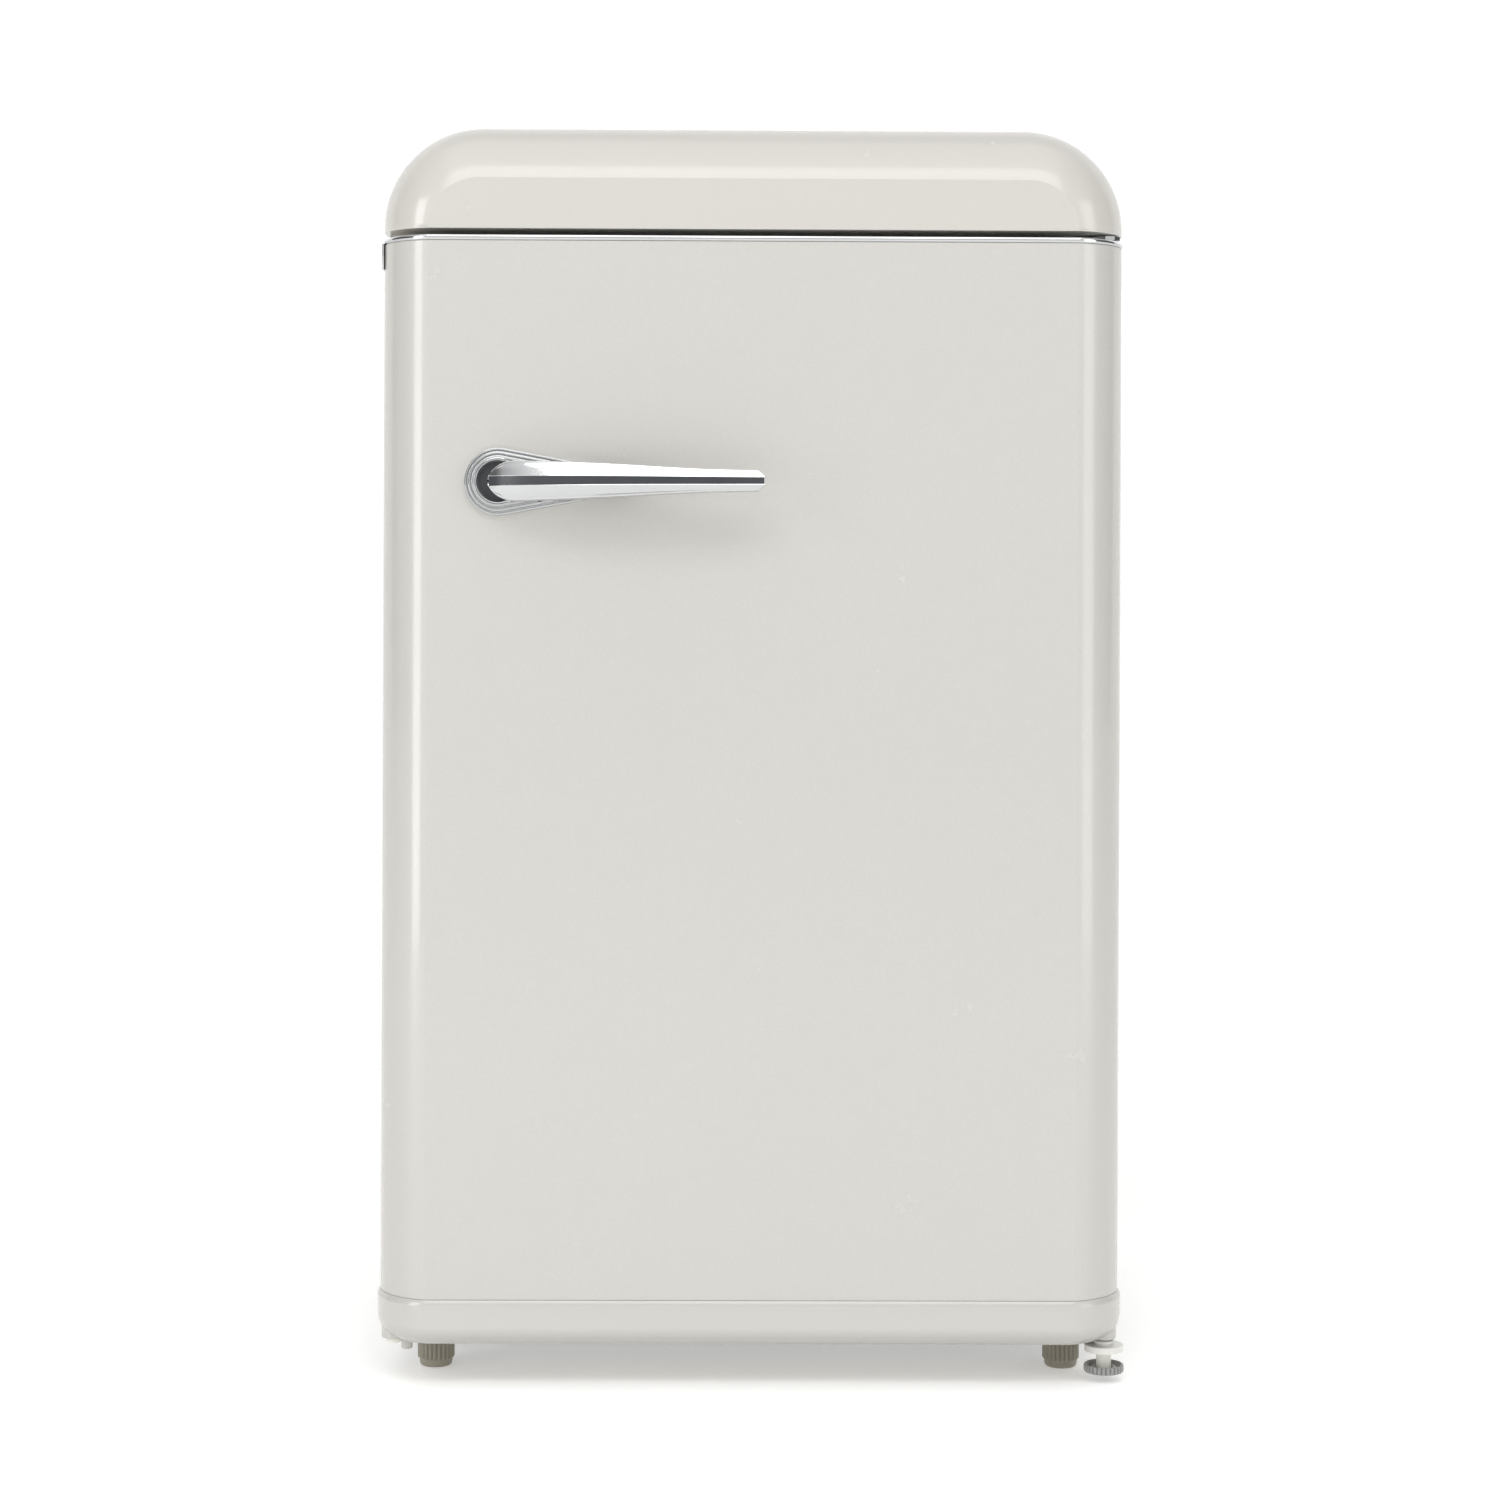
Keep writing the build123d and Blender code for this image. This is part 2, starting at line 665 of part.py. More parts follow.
def ribbed_knob(x, depth):
    """Fluted knob standing on a smooth, slightly narrower pad."""
    with BuildPart() as knob:
        with BuildSketch(level(KNOB_STEP)):
            with Locations((x, y_at(depth))):
                Circle(FOOT_RADIUS)
                with PolarLocations(FOOT_RADIUS + 0.3, RIB_COUNT):
                    Circle(1.0, mode=Mode.SUBTRACT)
        extrude(amount=KNOB_TOP - KNOB_STEP)
        with BuildSketch(level(0)):
            with Locations((x, y_at(depth))):
                Circle(FOOT_RADIUS - 1.4)
        extrude(amount=KNOB_STEP)
        fillet(knob.faces().sort_by(Axis.Z)[0].edges(), radius=2)
        add(
            post(x, depth, (KNOB_TOP - STUD_DIP - 0.1, KNOB_TOP + 1), STUD_RADIUS + 0.1),
            mode=Mode.SUBTRACT,
        )
    return knob.part


def stud(x, depth):
    """Plain stud at the thread's outer diameter, with a chamfered tip."""
    with BuildPart() as rod:
        add(post(x, depth, (KNOB_TOP - STUD_DIP, STUD_TOP), STUD_RADIUS))
        chamfer(rod.faces().sort_by(Axis.Z)[-1].edges(), length=0.8)
    return rod.part


for side_name, side in (("left", -1), ("right", 1)):
    write(ribbed_knob(side * FOOT_X, FOOT_DEPTH), f"{side_name}_foot_knob")
    write(stud(side * FOOT_X, FOOT_DEPTH), f"{side_name}_foot_stud")

WHEEL_RADIUS = 13.0
WHEEL_BOTTOM = 5.2
WHEEL_TOP = 10.6
WHEEL_FLOOR = WHEEL_BOTTOM + 2.2
WHEEL_HUB_TOP = WHEEL_BOTTOM + 3.6
TOOTH_COUNT = 28
STUD_SEAT = WHEEL_BOTTOM + 1.2

with BuildPart() as hinge_foot_wheel:
    with BuildSketch(level(WHEEL_BOTTOM)):
        with Locations((HINGE_X, y_at(HINGE_DEPTH))):
            Circle(WHEEL_RADIUS)
            with PolarLocations(WHEEL_RADIUS + 0.3, TOOTH_COUNT):
                Circle(0.9, mode=Mode.SUBTRACT)
    extrude(amount=WHEEL_TOP - WHEEL_BOTTOM)
    dish = (WHEEL_FLOOR, WHEEL_TOP + 1)
    add(post(HINGE_X, HINGE_DEPTH, dish, WHEEL_RADIUS - 2.4), mode=Mode.SUBTRACT)
    add(post(HINGE_X, HINGE_DEPTH, (WHEEL_FLOOR, WHEEL_HUB_TOP), 8.0))
    bore = (STUD_SEAT - 0.1, WHEEL_TOP)
    add(post(HINGE_X, HINGE_DEPTH, bore, WHEEL_STUD_RADIUS + 0.1), mode=Mode.SUBTRACT)
write(hinge_foot_wheel.part, "hinge_foot_wheel")

with BuildPart() as hinge_foot_stud:
    add(post(HINGE_X, HINGE_DEPTH, (STUD_SEAT, WHEEL_STUD_TOP), WHEEL_STUD_RADIUS))
write(hinge_foot_stud.part, "hinge_foot_stud")

with BuildPart() as rear_feet:
    with BuildSketch(level(0)):
        with Locations((-FOOT_X, y_at(REAR_FOOT_DEPTH)), (FOOT_X, y_at(REAR_FOOT_DEPTH))):
            Circle(FOOT_RADIUS)
    extrude(amount=BASE_Z, taper=4)
    fillet(rear_feet.faces().group_by(Axis.Z)[0].edges(), radius=2)
write(rear_feet.part, "rear_feet")

# ---------------------------------------------------------------- door
HANDLE_X = -162.5
HANDLE_Z = 579.8
HANDLE_SCREWS = ((HANDLE_X - 6, HANDLE_Z), (HANDLE_X + 30, HANDLE_Z))
HANDLE_SCREW_RADIUS = 1.8
DOOR_BODY = (TRIM_TOP_Z, SKIN_TOP_Z)
DOOR_HEIGHT = SKIN_TOP_Z - TRIM_TOP_Z

with BuildPart() as door_skin:
    extrude(door_plan(TRIM_TOP_Z, 0.0), amount=DOOR_HEIGHT)
    extrude(door_plan(TRIM_TOP_Z - 1, -STEEL), amount=DOOR_HEIGHT + 2, mode=Mode.SUBTRACT)
    with BuildSketch(upright(-1)):
        with Locations(*HANDLE_SCREWS):
            Circle(HANDLE_SCREW_RADIUS + 0.4)
    extrude(amount=-4, mode=Mode.SUBTRACT)
write(door_skin.part, "door_skin")

PLUG_HALF = 178.0
PLUG_BOTTOM = 98.0
PLUG_TOP = 690.0
PLUG_DEPTH = 66.0
DYKE_INNER = 160.0
DYKE_TOP = 582.0
DYKE_DEPTH = 118.0
BIN_LEVELS = {"lower": (112.0, 92.0), "middle": (300.0, 64.0), "upper": (462.0, 64.0)}
BIN_DEPTH = 122.0


def door_core(shrink):
    """Raised inside of the door: a shallow plug with a deep rib down each side."""
    with BuildPart() as core:
        add(
            block(
                (-PLUG_HALF + shrink, PLUG_HALF - shrink),
                (DOOR_DEPTH - 1, PLUG_DEPTH - shrink),
                (PLUG_BOTTOM + shrink, PLUG_TOP - shrink),
            )
        )
        for side in (-1, 1):
            rib = sorted((side * (DYKE_INNER + shrink), side * (PLUG_HALF - shrink)))
            add(
                block(
                    rib,
                    (DOOR_DEPTH - 1, DYKE_DEPTH - shrink),
                    (PLUG_BOTTOM + shrink, DYKE_TOP - shrink),
                )
            )
        fillet(core.faces().sort_by(Axis.Y)[-2:].edges(), radius=5 - shrink)
    return core.part


LINER_EDGE = 225.0
LUG = 6.0
with BuildPart() as door_liner:
    add(
        block(
            (-LINER_EDGE, LINER_EDGE),
            (DOOR_DEPTH, DOOR_DEPTH + LINER),
            (TRIM_TOP_Z + 2, SKIN_TOP_Z - 2),
        )
    )
    add(door_core(0.0))
    add(door_core(LINER), mode=Mode.SUBTRACT)
    add(block((-WIDTH, WIDTH), (DOOR_DEPTH - 2, DOOR_DEPTH), DOOR_BODY), mode=Mode.SUBTRACT)
    for low, height in BIN_LEVELS.values():
        for side in (-1, 1):
            lug = sorted((side * (DYKE_INNER - LUG), side * DYKE_INNER))
            add(block(lug, (PLUG_DEPTH, DYKE_DEPTH - 12), (low - LUG, low)))
write(door_liner.part, "door_liner")

FOAM_INSET = STEEL + FIT_GAP
TOP_BUSH_RADIUS = 6.0
BUSH_LENGTH = 20.0
with BuildPart() as door_foam:
    extrude(door_plan(TRIM_TOP_Z, -FOAM_INSET), amount=DOOR_HEIGHT)
    add(
        block((-WIDTH, WIDTH), (DOOR_DEPTH - FIT_GAP, DOOR_DEPTH + 1), DOOR_BODY),
        mode=Mode.SUBTRACT,
    )
    add(door_core(LINER + FIT_GAP))
    for x, z in HANDLE_SCREWS:
        add(block((x - 6, x + 6), (0, 6), (z - 6, z + 6)), mode=Mode.SUBTRACT)
    add(
        post(HINGE_X, HINGE_DEPTH, (DOOR_TOP_Z - BUSH_LENGTH - 0.2, DOOR_TOP_Z), TOP_BUSH_RADIUS + 0.1),
        mode=Mode.SUBTRACT,
    )
write(door_foam.part, "door_foam")

GASKET_OUTER = 224.0
GASKET_INNER = 204.0
GASKET_LOW = 62.0
GASKET_HIGH = 726.0
GASKET_WIDE = GASKET_OUTER - GASKET_INNER
GASKET_BACK = CABINET_FRONT - 0.3
with BuildPart() as door_gasket:
    add(
        block(
            (-GASKET_OUTER, GASKET_OUTER),
            (DOOR_DEPTH + LINER, GASKET_BACK),
            (GASKET_LOW, GASKET_HIGH),
        )
    )
    add(
        block(
            (-GASKET_INNER, GASKET_INNER),
            (DOOR_DEPTH, CABINET_FRONT),
            (GASKET_LOW + GASKET_WIDE, GASKET_HIGH - GASKET_WIDE),
        ),
        mode=Mode.SUBTRACT,
    )
    fillet(door_gasket.edges().filter_by(Axis.Y), radius=3)
write(door_gasket.part, "door_gasket")

TRIM_LIP = 0.8
CLIP_HEIGHT = 16.0
with BuildPart() as door_top_trim:
    extrude(door_plan(SKIN_TOP_Z, TRIM_LIP), amount=DOOR_TOP_Z - SKIN_TOP_Z)
    rim = door_top_trim.faces().sort_by(Axis.Z)[-1].edges().sort_by(Axis.Y)[:3]
    fillet(rim, radius=1.2)
    add(
        block(
            (-WIDTH / 2 - TRIM_LIP, -WIDTH / 2),
            (DOOR_DEPTH - 12, DOOR_DEPTH),
            (SKIN_TOP_Z - CLIP_HEIGHT, SKIN_TOP_Z + 1),
        )
    )
    bore = (SKIN_TOP_Z - 1, DOOR_TOP_Z + 1)
    add(post(HINGE_X, HINGE_DEPTH, bore, TOP_BUSH_RADIUS), mode=Mode.SUBTRACT)
write(door_top_trim.part, "door_top_trim")

BUSH_RADIUS = 5.4
BOSS_RADIUS = 8.0
BOSS_BOTTOM = TRIM_BOTTOM_Z
RIM_RADIUS = 13.0
STOP_PEG_X = 7.8
STOP_PEG_DEPTH = HINGE_DEPTH + 6
STOP_PEG_RADIUS = 3.7
STOP_PEG_BOTTOM = 17.8
STOP_WEB_BOTTOM = 22.4
STOP_WEB_REACH = 8.2


def trim_body(inset):
    """The bottom trim's form: the door's outline with softened creases and a rolled rim."""
    with BuildPart() as body:
        low = TRIM_BOTTOM_Z + inset
        extrude(door_plan(low, TRIM_GROW - inset), amount=TRIM_TOP_Z - low)
        fillet(body.edges().filter_by(Axis.Z).sort_by(Axis.Y)[:2], radius=30)
        rim = body.faces().sort_by(Axis.Z)[0].edges().sort_by(Axis.Y)[:-1]
        fillet(rim, radius=RIM_RADIUS - inset)
    return body.part


with BuildPart() as door_bottom_trim:
    add(trim_body(0.0))
    top_rim = door_bottom_trim.faces().sort_by(Axis.Z)[-1].edges().sort_by(Axis.Y)[:-1]
    chamfer(top_rim, length=1.6)
    add(trim_body(PLASTIC), mode=Mode.SUBTRACT)
    for side in (-1, 1):
        add(post(side * HINGE_X, HINGE_DEPTH, (BOSS_BOTTOM, TRIM_TOP_Z), BOSS_RADIUS))
        bore = (BOSS_BOTTOM - 1, TRIM_TOP_Z - 3)
        add(post(side * HINGE_X, HINGE_DEPTH, bore, BUSH_RADIUS), mode=Mode.SUBTRACT)
    peg = (STOP_PEG_BOTTOM, TRIM_BOTTOM_Z + PLASTIC)
    peg_x = -HINGE_X + STOP_PEG_X
    add(post(peg_x, STOP_PEG_DEPTH, peg, STOP_PEG_RADIUS))
    add(
        block(
            (peg_x, peg_x + STOP_WEB_REACH),
            (STOP_PEG_DEPTH - 3, STOP_PEG_DEPTH + 3),
            (STOP_WEB_BOTTOM, TRIM_BOTTOM_Z + PLASTIC),
        )
    )
write(door_bottom_trim.part, "door_bottom_trim")

BUSH_BORE = HINGE_PIN_RADIUS + RUNNING_GAP
with BuildPart() as hinge_bushes:
    add(post(HINGE_X, HINGE_DEPTH, (BOSS_BOTTOM, TRIM_TOP_Z - 3), BUSH_RADIUS))
    add(post(HINGE_X, HINGE_DEPTH, (DOOR_TOP_Z - BUSH_LENGTH, DOOR_TOP_Z), TOP_BUSH_RADIUS))
    for z in ((BOSS_BOTTOM - 1, LOWER_PIN_TOP + 1), (UPPER_PIN[0] - 1, DOOR_TOP_Z + 1)):
        add(post(HINGE_X, HINGE_DEPTH, z, BUSH_BORE), mode=Mode.SUBTRACT)
write(hinge_bushes.part, "hinge_bushes")

PLUG_BOTTOM_Z = 23.7
with BuildPart() as spare_hinge_plug:
    add(post(-HINGE_X, HINGE_DEPTH, (PLUG_BOTTOM_Z, TRIM_TOP_Z - 6), BUSH_RADIUS - 0.1))
    fillet(spare_hinge_plug.faces().sort_by(Axis.Z)[0].edges(), radius=1.6)
write(spare_hinge_plug.part, "spare_hinge_plug")

# ---------------------------------------------------------------- door bins
BIN_WALL = 2.0


def door_bin(low, height):
    """Open tray hung between the door's ribs, with rounded front corners."""
    with BuildPart() as tray:
        half = DYKE_INNER - 0.6
        add(block((-half, half), (PLUG_DEPTH + 0.4, BIN_DEPTH), (low + 0.1, low + height)))
        rear_corners = tray.edges().filter_by(Axis.Z).group_by(Axis.Y)[-1]
        fillet(rear_corners, radius=10)
        opening = tray.faces().sort_by(Axis.Z)[-1]
        offset(amount=-BIN_WALL, openings=opening)
    return tray.part


for bin_name, (bin_low, bin_height) in BIN_LEVELS.items():
    write(door_bin(bin_low, bin_height), f"{bin_name}_bin")

# ---------------------------------------------------------------- handle
RING_RADII = (21.8, 18.9, 16.0)
RING_HEIGHTS = (4.0, 6.4, 8.8)
RECESS_RADIUS = 13.0
RECESS_FLOOR = 3.0
TAIL_REACH = 78.0
TAIL_SLIM = 14.4


def teardrop(depth, radius):
    """Round head with straight flanks that narrow towards the tail."""
    with BuildSketch(upright(depth)) as face:
        with Locations((HANDLE_X, HANDLE_Z)):
            Circle(radius)
        with Locations((HANDLE_X + TAIL_REACH, HANDLE_Z)):
            Circle(radius - TAIL_SLIM)
        make_hull()
    return face.sketch


def disc(x, z, depth, thickness, radius):
    """Round plate facing the viewer, its near face at that depth."""
    with BuildSketch(upright(depth)) as face:
        with Locations((x, z)):
            Circle(radius)
    return extrude(face.sketch, amount=-thickness, mode=Mode.PRIVATE)


with BuildPart() as handle_base:
    for radius, height in zip(RING_RADII, RING_HEIGHTS):
        extrude(teardrop(-height, radius), amount=-height)
    rim_height = RING_HEIGHTS[-1]
    add(
        disc(HANDLE_X, HANDLE_Z, -rim_height - 1, rim_height + 1 - RECESS_FLOOR, RECESS_RADIUS),
        mode=Mode.SUBTRACT,
    )
    for x, z in HANDLE_SCREWS:
        add(disc(x, z, -2.4, 3.4, HANDLE_SCREW_RADIUS), mode=Mode.SUBTRACT)
write(handle_base.part, "handle_base")

RECESS_PLATE_T = 1.0
with BuildPart() as handle_recess:
    add(
        disc(
            HANDLE_X,
            HANDLE_Z,
            -RECESS_FLOOR - RECESS_PLATE_T,
            RECESS_PLATE_T,
            RECESS_RADIUS - 0.1,
        )
    )
write(handle_recess.part, "handle_recess")

NOSE_X = HANDLE_X - 6.0
TIP_X = 6.8
NOSE_LENGTH = 18.5
LEVER_SHOULDER = 13.0
LEVER_WAIST = ((NOSE_X + 72, 11.1), (NOSE_X + 133, 7.8))
LEVER_SLIM = 6.8
TIP_HALF = 3.0
TIP_CHAMFER = 3.8
GRIP_GAP = 24.0
PLATE_TOP = RECESS_FLOOR + RECESS_PLATE_T
RIM_TOP = RING_HEIGHTS[-1]
INLAY_SUNK = 1.0
SUNK_LENGTH = 8.0
INLAY_HALF = (3.1, 2.1)
FRONT_CURVE = (
    (0.0, 13.0),
    (8.0, 20.0),
    (30.0, 28.5),
    (80.0, HANDLE_REACH - 2.0),
    (TIP_X - NOSE_X, HANDLE_REACH - 0.2),
)


def lever_front(sunk):
    """Points of the lever's front curve seen from above, sunk into the metal."""
    return [(NOSE_X + x, y_at(sunk - reach)) for x, reach in FRONT_CURVE]


def lever_half_outline():
    """Half of the lever's front view: bullet nose, long taper, chamfered tip."""
    with BuildSketch(upright(-HANDLE_REACH - 2)) as outline:
        with BuildLine():
            Spline(
                (NOSE_X, HANDLE_Z),
                (NOSE_X + NOSE_LENGTH, HANDLE_Z + LEVER_SHOULDER),
                *[(x, HANDLE_Z + half) for x, half in LEVER_WAIST],
                (TIP_X - TIP_CHAMFER, HANDLE_Z + LEVER_SLIM),
                tangents=((0, 1), (1, -0.05)),
            )
            Polyline(
                (TIP_X - TIP_CHAMFER, HANDLE_Z + LEVER_SLIM),
                (TIP_X, HANDLE_Z + TIP_HALF),
                (TIP_X, HANDLE_Z),
                (NOSE_X, HANDLE_Z),
            )
        make_face()
    return outline.sketch


def inlay_solid():
    """Band let into the front of the lever, narrowing towards the tip."""
    with BuildPart() as band:
        with BuildSketch(level(HANDLE_Z - 10)):
            with BuildLine():
                Spline(*lever_front(0.0))
                Line(lever_front(0.0)[-1], lever_front(INLAY_SUNK)[-1])
                Spline(*lever_front(INLAY_SUNK)[::-1])
                Line(lever_front(INLAY_SUNK)[0], lever_front(0.0)[0])
            make_face()
        extrude(amount=20)
        with BuildSketch(upright(-HANDLE_REACH - 2)):
            with BuildLine():
                Polyline(
                    (NOSE_X - 1, HANDLE_Z - INLAY_HALF[0]),
                    (NOSE_X - 1, HANDLE_Z + INLAY_HALF[0]),
                    (TIP_X + 1, HANDLE_Z + INLAY_HALF[1]),
                    (TIP_X + 1, HANDLE_Z - INLAY_HALF[1]),
                    close=True,
                )
            make_face()
        extrude(amount=-HANDLE_REACH, mode=Mode.INTERSECT)
    return band.part


with BuildPart() as handle_lever:
    with BuildSketch(level(HANDLE_Z - 20)):
        with BuildLine():
            Spline(*lever_front(0.0))
            Line(lever_front(0.0)[-1], (TIP_X, y_at(-GRIP_GAP - 4)))
            Spline(
                (TIP_X, y_at(-GRIP_GAP - 4)),
                (NOSE_X + 104, y_at(-GRIP_GAP + 3)),
                (NOSE_X + 78, y_at(-RIM_TOP)),
                tangents=((-1, 0), (-1, 1.2)),
            )
            Polyline(
                (NOSE_X + 78, y_at(-RIM_TOP)),
                (NOSE_X + SUNK_LENGTH, y_at(-RIM_TOP)),
                (NOSE_X + SUNK_LENGTH, y_at(-PLATE_TOP)),
                (NOSE_X, y_at(-PLATE_TOP)),
                lever_front(0.0)[0],
            )
        make_face()
    extrude(amount=40)
    extrude(lever_half_outline(), amount=-HANDLE_REACH, mode=Mode.INTERSECT)
    mirror(about=Plane.XY.offset(HANDLE_Z))
    add(inlay_solid(), mode=Mode.SUBTRACT)
write(handle_lever.part, "handle_lever")

with BuildPart() as handle_inlay:
    add(inlay_solid())
write(handle_inlay.part, "handle_inlay")

with BuildPart() as handle_screws:
    for x, z in HANDLE_SCREWS:
        add(disc(x, z, -2.4, 2.4 + STEEL, HANDLE_SCREW_RADIUS))
        add(disc(x, z, STEEL, 2.4, 2 * HANDLE_SCREW_RADIUS))
write(handle_screws.part, "handle_screws")

# ---------------------------------------------------------------- shelves and drawer
GLASS_T = 4.0
GLASS_HALF = CAVITY_HALF - 1.2
GLASS_FRONT = LEDGE_FRONT
TRIM_FRONT = GLASS_FRONT - 6


def glass_plate(z, back):
    return block((-GLASS_HALF, GLASS_HALF), (GLASS_FRONT, back), (z, z + GLASS_T))


with BuildPart() as glass_shelf:
    add(glass_plate(SHELF_Z, CAVITY_BACK - 4))
write(glass_shelf.part, "glass_shelf")

with BuildPart() as crisper_cover:
    add(glass_plate(COVER_Z, STEP_DEPTH - 3))
write(crisper_cover.part, "crisper_cover")

with BuildPart() as shelf_trims:
    for z in (SHELF_Z, COVER_Z):
        front_bar = (z - 4, z + GLASS_T + 5)
        over_glass = (z + GLASS_T, z + GLASS_T + 2)
        add(block((-GLASS_HALF, GLASS_HALF), (TRIM_FRONT, GLASS_FRONT), front_bar))
        add(block((-GLASS_HALF, GLASS_HALF), (GLASS_FRONT, GLASS_FRONT + 9), over_glass))
write(shelf_trims.part, "shelf_trims")

DRAWER_HALF = 186.0
DRAWER = (CAVITY_FLOOR + 0.3, 246.0)
DRAWER_FRONT = 134.0
DRAWER_BACK = 256.0
DRAWER_WALL = 2.5
with BuildPart() as crisper_drawer:
    add(block((-DRAWER_HALF, DRAWER_HALF), (DRAWER_FRONT, DRAWER_BACK), DRAWER))
    fillet(crisper_drawer.edges().filter_by(Axis.Z), radius=14)
    fillet(crisper_drawer.faces().sort_by(Axis.Z)[0].edges(), radius=8)
    offset(amount=-DRAWER_WALL, openings=crisper_drawer.faces().sort_by(Axis.Z)[-1])
    add(
        block(
            (-70, 70),
            (DRAWER_FRONT - 10, DRAWER_FRONT + 1),
            (DRAWER[1] - 4, DRAWER[1]),
        )
    )
write(crisper_drawer.part, "crisper_drawer")

TRAY_FRONT = 138.0
TRAY_TOP = TRAY_Z + 18
with BuildPart() as drip_tray:
    add(block((-GLASS_HALF, GLASS_HALF), (TRAY_FRONT, CAVITY_BACK - 6), (TRAY_Z, TRAY_TOP)))
    fillet(drip_tray.edges().filter_by(Axis.Z), radius=8)
    offset(amount=-BIN_WALL, openings=drip_tray.faces().sort_by(Axis.Z)[-1])
write(drip_tray.part, "drip_tray")

# ---------------------------------------------------------------- ice box
ICE_HALF = 190.0
ICE = (592.0, 696.0)
ICE_FRONT = 168.0
ICE_BACK = 410.0
ICE_SHEET = 1.6
FLAP_AXIS = (161.5, 689.5)
FLAP_HALF = 183.0
FLAP_BOTTOM = 602.0
FLAP_T = 8.0
FLAP_PIN = 2.4
EAR_T = 2.0
EAR_X = (FLAP_HALF + 0.6, FLAP_HALF + 0.6 + EAR_T)


def across(x, depth, z, length, radius):
    """Round bar running across the fridge, centred on x."""
    with BuildSketch(sideways(x - length / 2)) as face:
        with Locations((y_at(depth), z)):
            Circle(radius)
    return extrude(face.sketch, amount=length, mode=Mode.PRIVATE)


with BuildPart() as ice_box:
    add(block((-ICE_HALF, ICE_HALF), (ICE_FRONT, ICE_BACK), ICE))
    add(
        block(
            (-ICE_HALF + ICE_SHEET, ICE_HALF - ICE_SHEET),
            (ICE_FRONT - 1, ICE_BACK - ICE_SHEET),
            (ICE[0] + ICE_SHEET, ICE[1] - ICE_SHEET),
        ),
        mode=Mode.SUBTRACT,
    )
    for x in (-120, 120):
        for depth in (200, 370):
            add(block((x - 12, x + 12), (depth - 8, depth + 8), (ICE[1], CAVITY_TOP)))
    for side in (-1, 1):
        ear = sorted((side * EAR_X[0], side * EAR_X[1]))
        add(block(ear, (FLAP_AXIS[0] - 5, ICE_FRONT + 6), (FLAP_AXIS[1] - 6, ICE[1])))
    add(
        across(0, *FLAP_AXIS, 2 * EAR_X[1] + 2, FLAP_PIN + RUNNING_GAP),
        mode=Mode.SUBTRACT,
    )
write(ice_box.part, "ice_box")

with BuildPart() as ice_box_flap:
    add(
        block(
            (-FLAP_HALF, FLAP_HALF),
            (FLAP_AXIS[0] - FLAP_T / 2, FLAP_AXIS[0] + FLAP_T / 2),
            (FLAP_BOTTOM, FLAP_AXIS[1]),
        )
    )
    fillet(ice_box_flap.faces().sort_by(Axis.Z)[0].edges().filter_by(Axis.X), radius=3)
    add(across(0, *FLAP_AXIS, 2 * FLAP_HALF, FLAP_T / 2))
    add(
        block((-50, 50), (FLAP_AXIS[0] - 10, FLAP_AXIS[0]), (FLAP_BOTTOM + 4, FLAP_BOTTOM + 8))
    )
    add(across(0, *FLAP_AXIS, 2 * EAR_X[1] + 1, FLAP_PIN))
write(ice_box_flap.part, "ice_box_flap")

# ---------------------------------------------------------------- thermostat, lamp, switch
HOUSING_X = (163.0, CAVITY_HALF - 0.1)
HOUSING_DEPTH = (132.0, 290.0)
HOUSING_Z = (474.0, 552.0)
HOUSING_WALL = 2.0
DIAL_DEPTH = 176.0
LAMP_DEPTH = 244.0
HOUSING_MIDDLE = sum(HOUSING_Z) / 2
DIAL_RADIUS = 17.0
SHAFT_RADIUS = 3.0
BUTTON_X = 170.0
BUTTON_Z = 530.0
BUTTON_RADIUS = 3.4
BUTTON_FRONT = DYKE_DEPTH + 0.4

with BuildPart() as thermostat_housing:
    add(block(HOUSING_X, HOUSING_DEPTH, HOUSING_Z))
    fillet(thermostat_housing.edges().filter_by(Axis.X), radius=10)
    fillet(thermostat_housing.faces().sort_by(Axis.X)[0].edges(), radius=3)
    offset(amount=-HOUSING_WALL, openings=thermostat_housing.faces().sort_by(Axis.X)[-1])
    add(
        across(HOUSING_X[0], DIAL_DEPTH, HOUSING_MIDDLE, 12, SHAFT_RADIUS + RUNNING_GAP),
        mode=Mode.SUBTRACT,
    )
    add(across(HOUSING_X[0], LAMP_DEPTH, HOUSING_MIDDLE, 12, 13), mode=Mode.SUBTRACT)
    add(
        disc(BUTTON_X, BUTTON_Z, HOUSING_DEPTH[0] - 1, 6, BUTTON_RADIUS + RUNNING_GAP),
        mode=Mode.SUBTRACT,
    )
write(thermostat_housing.part, "thermostat_housing")

DIAL_X = (150.0, HOUSING_X[0] - 0.5)
with BuildPart() as thermostat_dial:
    with BuildSketch(sideways(DIAL_X[0])):
        with Locations((y_at(DIAL_DEPTH), HOUSING_MIDDLE)):
            Circle(DIAL_RADIUS)
            with PolarLocations(DIAL_RADIUS + 0.8, 18):
                Circle(1.8, mode=Mode.SUBTRACT)
    extrude(amount=DIAL_X[1] - DIAL_X[0])
    chamfer(thermostat_dial.faces().sort_by(Axis.X)[0].edges(), length=0.7)
    with BuildSketch(sideways(DIAL_X[0])):
        with Locations((y_at(DIAL_DEPTH), HOUSING_MIDDLE + DIAL_RADIUS - 5)):
            SlotOverall(7, 2, rotation=90)
    extrude(amount=1.0, mode=Mode.SUBTRACT)
    add(across((DIAL_X[1] + 175) / 2, DIAL_DEPTH, HOUSING_MIDDLE, 175 - DIAL_X[1], SHAFT_RADIUS))
write(thermostat_dial.part, "thermostat_dial")

